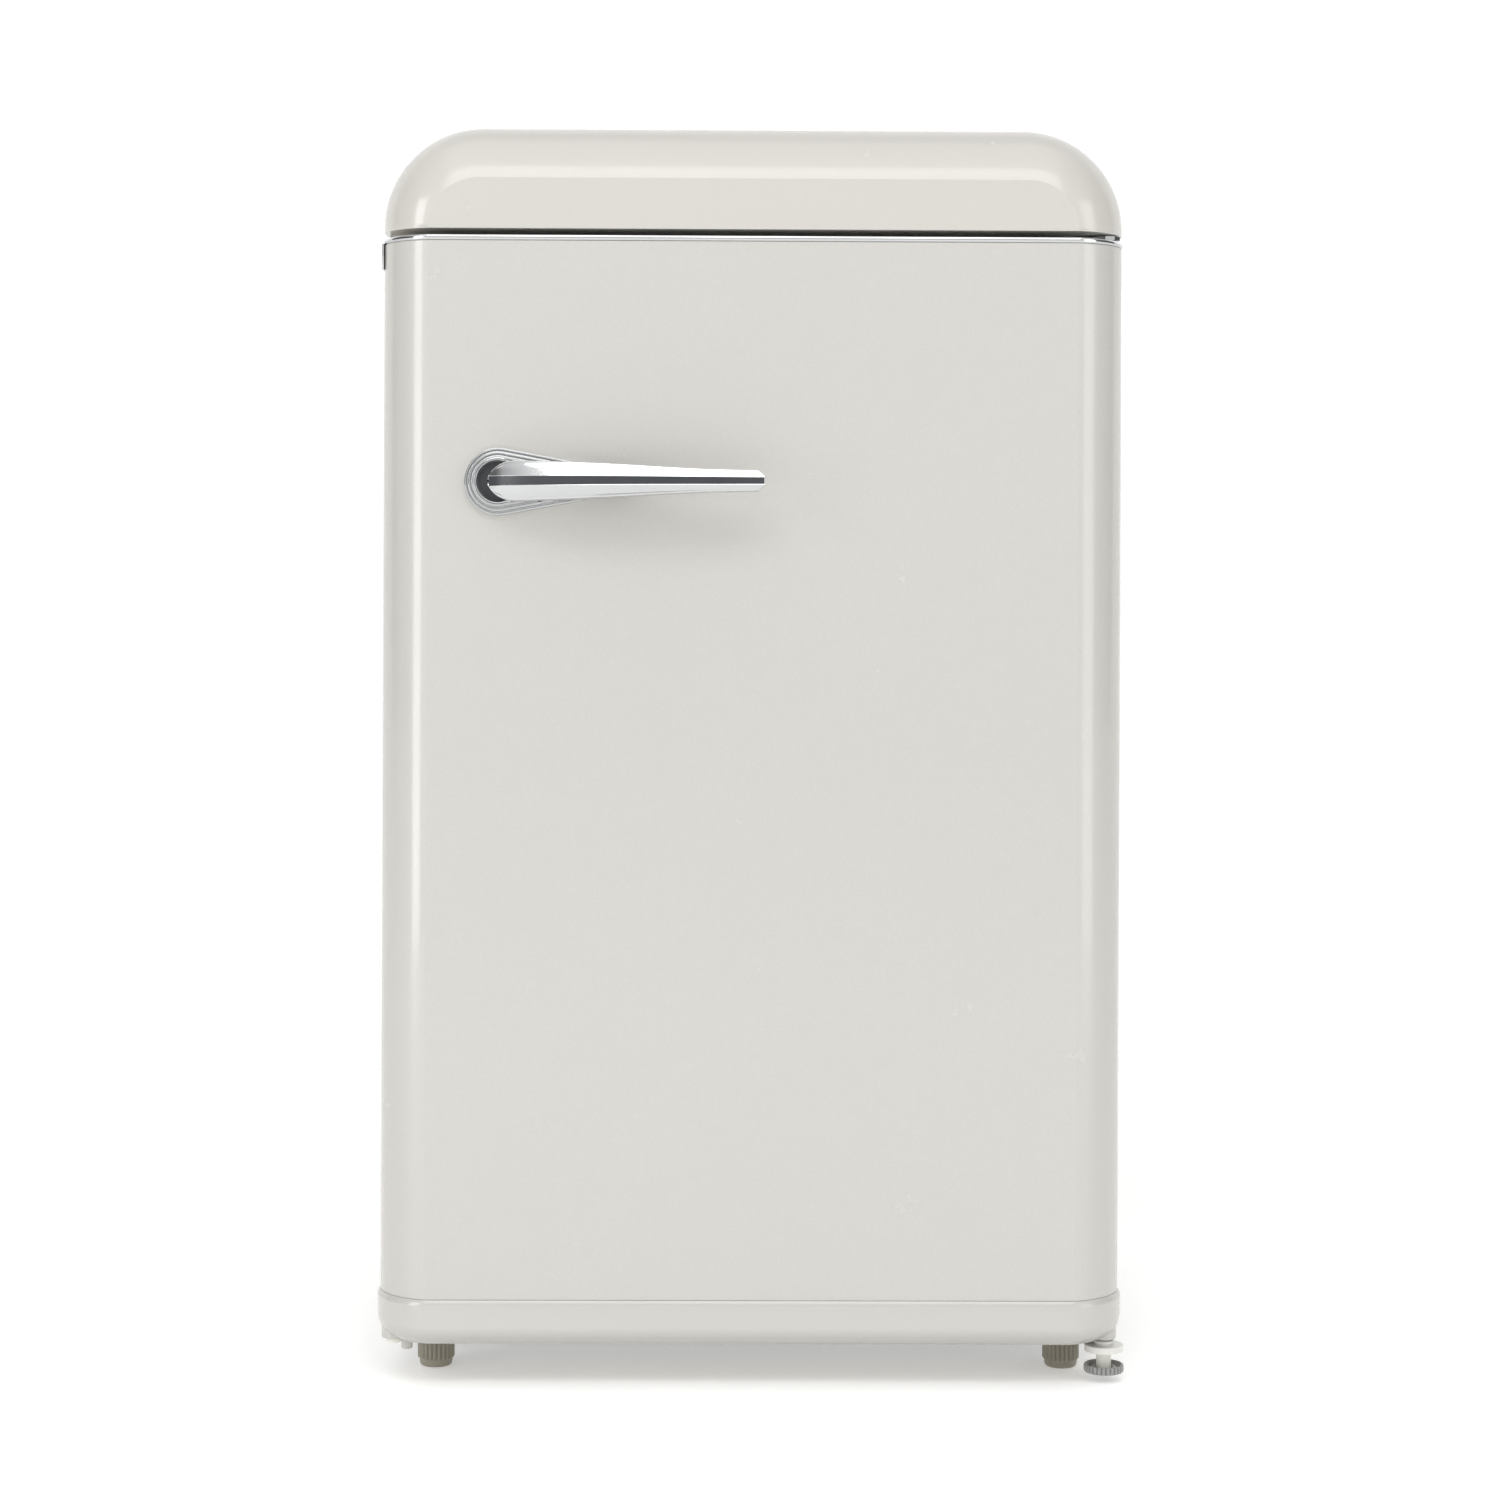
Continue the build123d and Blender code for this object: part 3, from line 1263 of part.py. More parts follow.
COVER_X = (150.0, HOUSING_X[0] - 0.1)
with BuildPart() as lamp_cover:
    add(
        block(
            COVER_X,
            (LAMP_DEPTH - 30, LAMP_DEPTH + 30),
            (HOUSING_MIDDLE - 28, HOUSING_MIDDLE + 28),
        )
    )
    fillet(lamp_cover.edges().filter_by(Axis.X), radius=10)
    fillet(lamp_cover.faces().sort_by(Axis.X)[0].edges(), radius=8)
    offset(amount=-1.6, openings=lamp_cover.faces().sort_by(Axis.X)[-1])
write(lamp_cover.part, "lamp_cover")

BULB_X = (158.0, 178.0)
BULB_CAP_END = 190.0
with BuildPart() as lamp_bulb:
    bulb_middle = sum(BULB_X) / 2
    add(across(bulb_middle, LAMP_DEPTH, HOUSING_MIDDLE, BULB_X[1] - BULB_X[0], 9))
    fillet(lamp_bulb.faces().filter_by(Axis.X).edges(), radius=7)
    cap_x = (BULB_X[1] - 2, BULB_CAP_END)
    add(across(sum(cap_x) / 2, LAMP_DEPTH, HOUSING_MIDDLE, cap_x[1] - cap_x[0], 6))
write(lamp_bulb.part, "lamp_bulb")

with BuildPart() as light_switch_button:
    add(disc(BUTTON_X, BUTTON_Z, BUTTON_FRONT, 34, BUTTON_RADIUS))
    fillet(light_switch_button.faces().sort_by(Axis.Y)[0].edges(), radius=1.5)
    add(disc(BUTTON_X, BUTTON_Z, HOUSING_DEPTH[0] + 12, 2, BUTTON_RADIUS + 1.2))
write(light_switch_button.part, "light_switch_button")
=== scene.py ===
import json
import math

import bpy
from mathutils import Matrix, Vector


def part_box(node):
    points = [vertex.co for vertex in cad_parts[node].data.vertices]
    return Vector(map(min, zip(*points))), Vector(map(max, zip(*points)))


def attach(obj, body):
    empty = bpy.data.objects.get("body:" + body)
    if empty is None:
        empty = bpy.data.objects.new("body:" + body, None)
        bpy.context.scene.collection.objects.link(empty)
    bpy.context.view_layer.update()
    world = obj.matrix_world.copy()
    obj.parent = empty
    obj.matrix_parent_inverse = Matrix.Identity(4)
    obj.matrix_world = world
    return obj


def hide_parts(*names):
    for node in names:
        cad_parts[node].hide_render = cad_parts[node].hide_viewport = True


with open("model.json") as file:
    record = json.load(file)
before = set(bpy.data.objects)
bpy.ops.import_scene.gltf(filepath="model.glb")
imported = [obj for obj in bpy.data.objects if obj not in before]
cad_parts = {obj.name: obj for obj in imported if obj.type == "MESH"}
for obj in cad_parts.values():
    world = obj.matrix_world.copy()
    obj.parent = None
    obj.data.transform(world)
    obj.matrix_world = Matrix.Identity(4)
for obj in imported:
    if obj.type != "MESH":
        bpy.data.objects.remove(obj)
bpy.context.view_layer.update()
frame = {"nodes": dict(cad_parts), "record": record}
nodes = frame["nodes"]
scene = bpy.context.scene
MM = 0.001

# ---------------------------------------------------------------- sizes read from the frame
skin_low, skin_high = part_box("door_skin")
cap_low, cap_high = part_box("top_cap")
strip_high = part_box("door_top_trim")[1]
trim_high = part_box("door_bottom_trim")[1]
FRONT = skin_low[1]
HALF = skin_high[0]
ROLL = 43.5 * MM  # radius of the rolled edges
CREASE = math.radians(15)  # angle at which a rolled edge meets the flat panel
DOOR_BACK = skin_high[1]
ROLL_X = HALF - ROLL


def y_at(depth):
    """Y of a depth in millimetres behind the door's flat panel."""
    return FRONT + depth * MM


# ---------------------------------------------------------------- camera
CAMERA_DISTANCE = 1.930
CAMERA_HEIGHT = 0.514
YAW = math.radians(-0.5)
ROLL_ANGLE = math.radians(0.24)
LENS = 72.58
SHIFT_X, SHIFT_Y = -0.0018, -0.1094
camera_data = bpy.data.cameras.new("camera")
camera_data.sensor_width = 36
camera_data.lens = LENS
camera_data.shift_x = SHIFT_X
camera_data.shift_y = SHIFT_Y
camera_data.clip_start = 0.05
camera_data.clip_end = 50
camera = bpy.data.objects.new("camera", camera_data)
scene.collection.objects.link(camera)
camera.matrix_world = (
    Matrix.Translation(
        (
            CAMERA_DISTANCE * math.sin(YAW),
            FRONT - CAMERA_DISTANCE * math.cos(YAW),
            CAMERA_HEIGHT,
        )
    )
    @ Matrix.Rotation(YAW, 4, "Z")
    @ Matrix.Rotation(math.radians(90), 4, "X")
    @ Matrix.Rotation(ROLL_ANGLE, 4, "Z")
)
scene.camera = camera


# ---------------------------------------------------------------- mesh helpers
def mesh_piece(name, verts, faces, sharp=None, material=None):
    """Mesh object from lists of points and faces, smooth but for edges over the sharp angle."""
    data = bpy.data.meshes.new(name)
    data.from_pydata([tuple(v) for v in verts], [], faces)
    data.validate()
    data.update()
    for face in data.polygons:
        face.use_smooth = True
    if sharp is not None:
        data.set_sharp_from_angle(angle=math.radians(sharp))
    piece = bpy.data.objects.new(name, data)
    scene.collection.objects.link(piece)
    if material is not None:
        data.materials.append(material)
    return piece


def skin_loops(loops, closed=True, ends=(True, True)):
    """Points and faces that join a list of equal loops, with flat ends where asked."""
    count = len(loops[0])
    verts = [point for loop in loops for point in loop]
    faces = []
    span = count if closed else count - 1
    for i in range(len(loops) - 1):
        for k in range(span):
            a = i * count + k
            b = i * count + (k + 1) % count
            faces.append((a, b, b + count, a + count))
    if closed and ends[0]:
        faces.append(tuple(reversed(range(count))))
    if closed and ends[1]:
        last = (len(loops) - 1) * count
        faces.append(tuple(range(last, last + count)))
    return verts, faces


def turned_parts(centre, profile, steps=32, wave=None):
    """Points and faces of a surface turned about a vertical line through centre.

    profile holds (radius, z) pairs, and wave changes a radius by its height and angle.
    """
    loops = []
    for radius, z in profile:
        loop = []
        for k in range(steps):
            angle = 2 * math.pi * k / steps
            r = radius if wave is None else wave(radius, z, angle)
            loop.append((centre[0] + r * math.cos(angle), centre[1] + r * math.sin(angle), z))
        loops.append(loop)
    return skin_loops(loops)


def turned(name, centre, profile, steps, sharp, material, wave=None):
    """Piece with a turned surface."""
    return mesh_piece(name, *turned_parts(centre, profile, steps, wave), sharp, material)


def joined(*meshes):
    """One list of points and faces out of several."""
    verts, faces = [], []
    for some_verts, some_faces in meshes:
        base = len(verts)
        verts += some_verts
        faces += [tuple(i + base for i in face) for face in some_faces]
    return verts, faces


def bevel(piece, width, segments, angle):
    """Rounds the edges of a piece that are sharper than an angle in degrees."""
    mod = piece.modifiers.new("soft_edges", "BEVEL")
    mod.width = width
    mod.segments = segments
    mod.limit_method = "ANGLE"
    mod.angle_limit = math.radians(angle)
    mod.harden_normals = True


def put(piece, body, slot, *replaced):
    """Piece rides on a body and stands for CAD nodes, which it hides; slot is not used."""
    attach(piece, body)
    if replaced:
        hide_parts(*replaced)


# ---------------------------------------------------------------- materials
class Graph:
    """Short way to write a material's nodes."""

    def __init__(self, name):
        self.material = bpy.data.materials.new(name)
        self.material.use_nodes = True
        self.tree = self.material.node_tree
        self.tree.nodes.clear()
        self.out = self.node("ShaderNodeOutputMaterial")
        self.coords = self.node("ShaderNodeTexCoord").outputs["Object"]

    def node(self, kind, **values):
        made = self.tree.nodes.new(kind)
        for key, value in values.items():
            setattr(made, key, value)
        return made

    def link(self, a, b):
        self.tree.links.new(a, b)

    def feed(self, socket, value):
        if isinstance(value, bpy.types.NodeSocket):
            self.link(value, socket)
        else:
            socket.default_value = value

    def stretched(self, scale):
        mapping = self.node("ShaderNodeMapping")
        self.link(self.coords, mapping.inputs["Vector"])
        mapping.inputs["Scale"].default_value = scale
        return mapping.outputs["Vector"]

    def noise(self, scale, detail=3.0, rough=0.5, stretch=None):
        tex = self.node("ShaderNodeTexNoise")
        self.link(self.coords if stretch is None else self.stretched(stretch), tex.inputs["Vector"])
        tex.inputs["Scale"].default_value = scale
        tex.inputs["Detail"].default_value = detail
        tex.inputs["Roughness"].default_value = rough
        return tex.outputs["Fac"]

    def ramp(self, value, low, high, start=0.0, end=1.0):
        m = self.node("ShaderNodeMapRange")
        self.link(value, m.inputs["Value"])
        m.inputs["From Min"].default_value = start
        m.inputs["From Max"].default_value = end
        m.inputs["To Min"].default_value = low
        m.inputs["To Max"].default_value = high
        return m.outputs["Result"]

    def mix(self, fac, a, b):
        m = self.node("ShaderNodeMix", data_type="RGBA")
        self.feed(m.inputs[0], fac)
        self.feed(m.inputs[6], a)
        self.feed(m.inputs[7], b)
        return m.outputs[2]

    def math(self, operation, a, b=0.0):
        m = self.node("ShaderNodeMath", operation=operation)
        self.feed(m.inputs[0], a)
        self.feed(m.inputs[1], b)
        return m.outputs[0]

    def axis(self, vector, name):
        split = self.node("ShaderNodeSeparateXYZ")
        self.link(vector, split.inputs[0])
        return split.outputs[name]

    def bump(self, height, strength, distance):
        b = self.node("ShaderNodeBump")
        b.inputs["Strength"].default_value = strength
        b.inputs["Distance"].default_value = distance
        self.link(height, b.inputs["Height"])
        return b.outputs["Normal"]

    def surface(self, color, rough, normal=None, metallic=0.0, coat=0.0, **extra):
        shader = self.node("ShaderNodeBsdfPrincipled")
        self.feed(shader.inputs["Base Color"], color)
        self.feed(shader.inputs["Roughness"], rough)
        shader.inputs["Metallic"].default_value = metallic
        shader.inputs["Coat Weight"].default_value = coat
        shader.inputs["Coat Roughness"].default_value = 0.05
        for key, value in extra.items():
            self.feed(shader.inputs[key.replace("_", " ")], value)
        if normal is not None:
            self.link(normal, shader.inputs["Normal"])
        self.link(shader.outputs[0], self.out.inputs["Surface"])
        return self.material


def rgb(r, g, b):
    """Linear colour from display values of 0 to 255."""
    return tuple(
        (v / 255 / 12.92 if v <= 10 else ((v / 255 + 0.055) / 1.055) ** 2.4) for v in (r, g, b)
    ) + (1.0,)


def scaled(color, k):
    """The colour made k times as light."""
    return tuple(min(1.0, c * k) for c in color[:3]) + (1.0,)


def enamel(name, color, gloss=0.22, peel=0.06, mottle=0.02, coat=0.35, flank=0.0, under=0.0):
    """Sprayed enamel: fine pearl mottling, slight orange peel, soft smears in the gloss.

    flank is how far painted shade, tinted warm, darkens the tone on faces that look sideways,
    and under how far painted shade greys it on faces that look down.
    """
    g = Graph(name)
    fine = g.ramp(g.noise(900, 2, 0.6), 0, 1, 0.35, 0.65)
    broad = g.ramp(g.noise(14, 4, 0.6), 0, 1, 0.3, 0.7)
    tone = g.mix(fine, scaled(color, 1 - mottle), scaled(color, 1 + mottle))
    tone = g.mix(g.math("MULTIPLY", broad, 0.25), tone, scaled(color, 1 - mottle))
    # painted shade: faces that look sideways are darkened and warmed, as light falls off round the
    # rolled edges
    if flank:
        sideways = g.axis(g.node("ShaderNodeTexCoord").outputs["Normal"], "X")
        turn = g.ramp(g.math("ABSOLUTE", sideways), 0, flank, 0.42, 1.0)
        tone = g.mix(turn, tone, (color[0] * 0.1, color[1] * 0.1, color[2] * 0.02, 1.0))
    # painted shade: faces that look down are greyed, as the underside of the trim falls into shade
    if under:
        upward = g.axis(g.node("ShaderNodeTexCoord").outputs["Normal"], "Z")
        painted_underside_shade = g.ramp(g.math("MULTIPLY", upward, -1.0), 0, under, 0.15, 1.0)
        tone = g.mix(painted_underside_shade, tone, scaled(color, 0.1))
    rough = g.ramp(g.noise(30, 5, 0.65), gloss * 0.85, gloss * 1.25, 0.3, 0.7)
    normal = g.bump(g.noise(330, 2, 0.5), peel, 0.0004)
    return g.surface(tone, rough, normal, coat=coat)


def plastic(name, color, rough=0.35, mottle=0.03, grain=1500, bump=0.08, **extra):
    """Moulded plastic with a fine spark grain and slight flow marks."""
    g = Graph(name)
    flow = g.ramp(g.noise(22, 3, 0.6, stretch=(1, 1, 0.35)), 0, 1, 0.3, 0.7)
    tone = g.mix(flow, scaled(color, 1 - mottle), scaled(color, 1 + mottle))
    gloss = g.ramp(g.noise(60, 4, 0.6), rough * 0.85, rough * 1.2, 0.3, 0.7)
    normal = g.bump(g.noise(grain, 2, 0.6), bump, 0.0002)
    return g.surface(tone, gloss, normal, **extra)


def metal(name, color, rough=0.3, brush=(1, 1, 40), scratch=0.1, spots=0.0):
    """Bare or plated metal: brushed lines, a little staining and unevenness."""
    g = Graph(name)
    lines = g.noise(300, 3, 0.6, stretch=brush)
    stain = g.ramp(g.noise(35, 5, 0.65), 0, 1, 0.4, 0.75)
    tone = g.mix(g.math("MULTIPLY", stain, 0.5), color, scaled(color, 0.72))
    if spots:
        rust = g.ramp(g.noise(140, 4, 0.7), 0, 1, 0.62, 0.7)
        tone = g.mix(g.math("MULTIPLY", rust, spots), tone, rgb(120, 84, 58))
    gloss = g.ramp(lines, rough * 0.7, rough * 1.35, 0.3, 0.7)
    normal = g.bump(lines, scratch, 0.0002)
    return g.surface(tone, gloss, normal, metallic=1.0)


def chrome_finish(name, color=rgb(244, 245, 246), rough=0.1, under=0.62):
    """Bright plating: wiping marks, faint haze, and painted shade that dulls the underside while
    the top keeps the full colour.
    """
    g = Graph(name)
    haze = g.ramp(g.noise(45, 5, 0.65), rough * 0.6, rough * 1.9, 0.35, 0.75)
    # painted light and shade: the tone runs from the full colour on faces that look up to a darker
    # copy on faces that look down
    upward = g.axis(g.node("ShaderNodeNewGeometry").outputs["Normal"], "Z")
    lit = g.ramp(upward, 0.0, 1.0, -0.35, 0.3)
    tone = g.mix(lit, scaled(color, under), color)
    clouds = g.ramp(g.noise(38, 4, 0.6, stretch=(0.5, 1, 1)), 0, 1, 0.38, 0.66)
    tone = g.mix(g.math("MULTIPLY", clouds, 0.22), tone, scaled(color, 0.72))
    normal = g.bump(g.noise(420, 3, 0.6, stretch=(0.12, 1, 1)), 0.03, 0.0002)
    return g.surface(tone, haze, normal, metallic=1.0)


def soft_black(name, color=rgb(34, 34, 35), rough=0.55, dust=0.25):
    """Black paint or rubber with pale dust on the faces that look up."""
    g = Graph(name)
    upward = g.axis(g.node("ShaderNodeNewGeometry").outputs["Normal"], "Z")
    up = g.ramp(upward, 0, 1, 0.1, 1.0)
    lint = g.ramp(g.noise(160, 5, 0.7), 0, 1, 0.4, 0.7)
    cover = g.math("MULTIPLY", g.math("MULTIPLY", up, lint), dust)
    mottled = g.mix(g.noise(90, 4, 0.6), scaled(color, 0.75), scaled(color, 1.35))
    tone = g.mix(cover, mottled, rgb(150, 146, 138))
    gloss = g.ramp(g.noise(70, 4, 0.6), rough * 0.8, min(1.0, rough * 1.25), 0.3, 0.7)
    normal = g.bump(g.noise(800, 3, 0.6), 0.15, 0.0003)
    return g.surface(tone, gloss, normal)


def clear(name, color, rough=0.08, ior=1.49, grain=0.05):
    """Clear moulded plastic or glass with faint ripples and handling marks."""
    g = Graph(name)
    marks = g.ramp(g.noise(50, 5, 0.7), rough * 0.5, rough * 2.0, 0.35, 0.75)
    tone = g.mix(g.ramp(g.noise(18, 3, 0.5), 0, 1, 0.3, 0.7), scaled(color, 0.96), color)
    normal = g.bump(g.noise(120, 2, 0.5), grain, 0.0003)
    return g.surface(tone, marks, normal, Transmission_Weight=0.88, IOR=ior)


CREAM = rgb(198, 196, 191)
# flank on these enamels paints shade onto the faces that look sideways
cream = enamel("cream_enamel", CREAM, flank=0.12)
shell_cream = enamel("shell_cream", CREAM)
cream_cap = enamel("cream_cap", rgb(201, 198, 192), gloss=0.22, peel=0.04, mottle=0.012, flank=0.04)
# under on the trim paints shade onto its faces that look down
cream_trim = enamel(
    "cream_trim", rgb(197, 195, 190), gloss=0.2, peel=0.04, mottle=0.012, flank=0.1, under=0.36
)
white_plastic = plastic("white_plastic", rgb(236, 237, 235), 0.32, 0.015)
liner_white = plastic("liner_white", rgb(234, 236, 236), 0.38, 0.015, grain=700, bump=0.1)
clear_plastic = clear("clear_plastic", rgb(243, 248, 250))
glass_green = clear("shelf_glass", rgb(236, 248, 243), rough=0.03, ior=1.52, grain=0.01)
foam = plastic("foam", rgb(214, 192, 132), 0.9, 0.12, grain=400, bump=0.6)
nylon = plastic("nylon", rgb(231, 230, 222), 0.4, 0.03)
grey_plastic = plastic("grey_plastic", rgb(152, 144, 132), 0.42, 0.06, grain=1200, bump=0.12)
dark_plastic = plastic("dark_plastic", rgb(58, 60, 64), 0.34, 0.1)
recess_grey = plastic("recess_grey", rgb(62, 63, 66), 0.5, 0.12, grain=2600, bump=0.35)
knob_grey = plastic("knob_grey", rgb(148, 142, 129), 0.42, 0.06, grain=1200, bump=0.12)
wheel_grey = plastic("wheel_grey", rgb(150, 150, 149), 0.42, 0.06, grain=1200, bump=0.12)
black_plastic = plastic("black_plastic", rgb(34, 34, 36), 0.5, 0.15)
bracket_white = enamel("bracket_white", rgb(222, 221, 216), gloss=0.32, mottle=0.02)
black_steel = soft_black("black_steel")
black_iron = soft_black("black_iron", rgb(28, 28, 30), 0.45, 0.4)
rubber = soft_black("rubber", rgb(40, 40, 41), 0.75, 0.3)
gasket_grey = plastic("gasket_vinyl", rgb(214, 214, 208), 0.5, 0.03)
zinc = metal("zinc_steel", rgb(186, 187, 186), 0.38, (1, 1, 30), 0.15, spots=0.06)
copper = metal("copper", rgb(196, 128, 92), 0.32, (20, 1, 1), 0.08)
aluminium = metal("aluminium", rgb(205, 207, 209), 0.36, (30, 1, 1), 0.12)
chrome = chrome_finish("chrome")

SLOT_FINISH = {
    "cream_enamel": cream,
    "cream_plastic": cream_cap,
    "white_plastic": white_plastic,
    "clear_plastic": clear_plastic,
    "foam": foam,
    "black_steel": black_steel,
    "white_steel": bracket_white,
    "zinc_steel": zinc,
    "black_iron": black_iron,
    "rubber": rubber,
    "gasket_rubber": gasket_grey,
    "black_plastic": black_plastic,
    "dark_plastic": dark_plastic,
    "grey_plastic": grey_plastic,
    "white_nylon": nylon,
    "copper": copper,
    "chrome": chrome,
    "aluminium": aluminium,
    "glass": glass_green,
}
slot_of = {part["node"]: part["material_slot"] for part in frame["record"]["subparts"]}
for node_name, node_object in nodes.items():
    finish = SLOT_FINISH[slot_of[node_name]]
    if node_name in ("cabinet_liner", "door_liner"):
        finish = liner_white
    if node_name == "cabinet_shell":
        finish = shell_cream
    for spot in node_object.material_slots:
        spot.material = finish
    if not node_object.material_slots:
        node_object.data.materials.append(finish)


# ---------------------------------------------------------------- outlines shared by the front
def door_path(grow, arc_steps=28, flat_steps=8):
    """Door outline from above as (x, y, normal x, normal y), left rear to right rear."""
    radius = ROLL + grow
    start = math.acos((DOOR_BACK - FRONT + grow) / radius)
    path = []
    angles = [math.pi / 2 - (math.pi / 2 - start) * i / arc_steps for i in range(arc_steps + 1)]
    for a in angles:
        n = (-math.sin(a), -math.cos(a))
        path.append((-ROLL_X + radius * n[0], DOOR_BACK + radius * n[1], n[0], n[1]))
    edge = ROLL_X + radius * math.sin(start)
    for i in range(1, flat_steps):
        path.append((-edge + 2 * edge * i / flat_steps, FRONT - grow, 0.0, -1.0))
    for a in reversed(angles):
        n = (math.sin(a), -math.cos(a))
        path.append((ROLL_X + radius * n[0], DOOR_BACK + radius * n[1], n[0], n[1]))
    return path


def along_front(grow, section, deepest=math.inf):
    """Loops that carry (inset, z) pairs round the door outline, none past the deepest y."""
    path = door_path(grow)
    return [
        [(x - nx * inset, min(y - ny * inset, deepest), z) for x, y, nx, ny in path]
        for inset, z in section
    ]


# ---------------------------------------------------------------- door skin
SKIN_T = 0.8 * MM
SKIN_ROUND = 0.6 * MM


def edge_round(low, high, radius, steps=4):
    """(inset, z) pairs up the outer face with small rounds at both ends."""
    pairs = []
    for i in range(steps + 1):
        a = math.pi / 2 * i / steps
        pairs.append((radius * (1 - math.sin(a)), low + radius * (1 - math.cos(a))))
    for i in range(steps + 1):
        a = math.pi / 2 * (1 - i / steps)
        pairs.append((radius * (1 - math.sin(a)), high - radius * (1 - math.cos(a))))
    return pairs


skin_section = edge_round(skin_low[2], skin_high[2], SKIN_ROUND)
skin_section = [(SKIN_T, skin_low[2])] + skin_section + [(SKIN_T, skin_high[2])]
sheet_loops = along_front(0.0, skin_section)
skin_verts, skin_faces = skin_loops(sheet_loops + [sheet_loops[0]], closed=False)
door_face = mesh_piece("door_skin_panel", skin_verts, skin_faces, 10, cream)
put(door_face, "door", "cream_enamel", "door_skin")

# ---------------------------------------------------------------- top cap
CAP_TOP_INSET = 36.6 * MM  # how far the front panel's upper edge lies under the top
CAP_CORNER = 65 * MM
CAP_FOOT = 0.5 * MM  # least straight height under a corner
ROLL_STEPS = 26
cap_bottom, cap_top, cap_back = cap_low[2], cap_high[2], cap_high[1]


def arch_loop(half, bottom, top, corner, y, steps=24):
    """Closed loop: foot left, round the two top corners, foot right."""
    loop = [(-half, y, bottom)]
    for i in range(steps + 1):
        a = math.pi / 2 * i / steps
        loop.append((-half + corner * (1 - math.cos(a)), y, top - corner * (1 - math.sin(a))))
    for i in range(steps + 1):
        a = math.pi / 2 * (1 - i / steps)
        loop.append((half - corner * (1 - math.cos(a)), y, top - corner * (1 - math.sin(a))))
    loop.append((half, y, bottom))
    return loop


cap_loops = []
top_scale = CAP_TOP_INSET / (1 - math.sin(CREASE))
for i in range(ROLL_STEPS + 1):
    a = CREASE + (math.pi / 2 - CREASE) * i / ROLL_STEPS
    side = ROLL * (1 - math.sin(a))
    top = top_scale * (1 - math.sin(a))
    corner = min(CAP_CORNER - side, cap_top - top - cap_bottom - CAP_FOOT)
    y = FRONT + ROLL * (math.cos(CREASE) - math.cos(a))
    cap_loops.append(arch_loop(HALF - side, cap_bottom, cap_top - top, corner, y))
cap_loops.append(arch_loop(HALF, cap_bottom, cap_top, CAP_CORNER, cap_back))
cap_verts, cap_faces = skin_loops(cap_loops)
cap = mesh_piece("top_cap_moulding", cap_verts, cap_faces, 10, cream_cap)
bevel(cap, 0.7 * MM, 3, 40)
put(cap, "cabinet", "cream_plastic", "top_cap")

# ---------------------------------------------------------------- chrome strip on the door
STRIP_GROW = 0.8 * MM
STRIP_INSET = 3 * MM
STRIP_ROUND = 1.3 * MM
TAB_OUTER, TAB_INNER = -HALF - 0.75 * MM, -HALF + 0.6 * MM
strip_bottom = skin_high[2]
strip_top = strip_high[2]
strip_mid = (strip_bottom + strip_top) / 2
strip_section = [(STRIP_INSET, strip_bottom)]
for i in range(9):
    a = math.pi * (i / 8 - 0.5)
    strip_section.append(
        (STRIP_ROUND * (1 - math.cos(a)), strip_mid + (strip_top - strip_mid) * math.sin(a))
    )
strip_section.append((STRIP_INSET, strip_top))
strip_loops = along_front(STRIP_GROW, strip_section)
tab_loops = []
for z, shrink in ((718.0, 1.2), (718.4, 0.4), (719.2, 0.0), (734.5, 0.0)):
    front, rear = y_at(30 + shrink), y_at(42)
    tab_loops.append(
        [
            (TAB_OUTER, front, z * MM),
            (TAB_INNER, front, z * MM),
            (TAB_INNER, rear, z * MM),
            (TAB_OUTER, rear, z * MM),
        ]
    )
strip_verts, strip_faces = joined(skin_loops(strip_loops), skin_loops(tab_loops))
strip = mesh_piece("door_top_strip", strip_verts, strip_faces, 40, chrome)
put(strip, "door", "chrome", "door_top_trim")

# ---------------------------------------------------------------- bottom trim
HINGE_X = 230 * MM
HINGE_Y = y_at(30)
LIP = 4.2 * MM  # height of the lip along the top
LIP_SLOPE = 1.7 * MM
TRIM_GROW = 2.0 * MM
TRIM_REACH = 24 * MM  # width of the turned-in foot
TRIM_INNER = 19 * MM
TRIM_WALL = 2 * MM
RIM = 15.5 * MM  # radius of the bottom edge
trim_top = trim_high[2]
trim_bottom = 27.0 * MM

trim_section = [(6 * MM, trim_top - 0.2 * MM), (2.3 * MM, trim_top)]
for i in range(9):
    t = i / 8
    trim_section.append(
        (LIP_SLOPE * (1 - t) ** 1.5 + 0.1 * MM, trim_top - 0.1 * MM - (LIP - 0.8 * MM) * t)
    )
trim_section.append((0.05 * MM, trim_top - LIP))
trim_section.append((0.3 * MM, trim_top - LIP - 0.7 * MM))
for i in range(19):
    a = math.pi / 2 * i / 18
    trim_section.append(
        (0.3 * MM + RIM * (1 - math.cos(a)), trim_bottom + RIM * (1 - math.sin(a)))
    )
trim_section += [
    (TRIM_REACH, trim_bottom),
    (TRIM_REACH, trim_bottom + TRIM_WALL),
    (TRIM_INNER, trim_bottom + TRIM_WALL),
    (TRIM_INNER, trim_top),
]
trim_section.reverse()
trim_loops = along_front(TRIM_GROW, trim_section, DOOR_BACK)
shell_parts = skin_loops(trim_loops + [trim_loops[0]], closed=False)

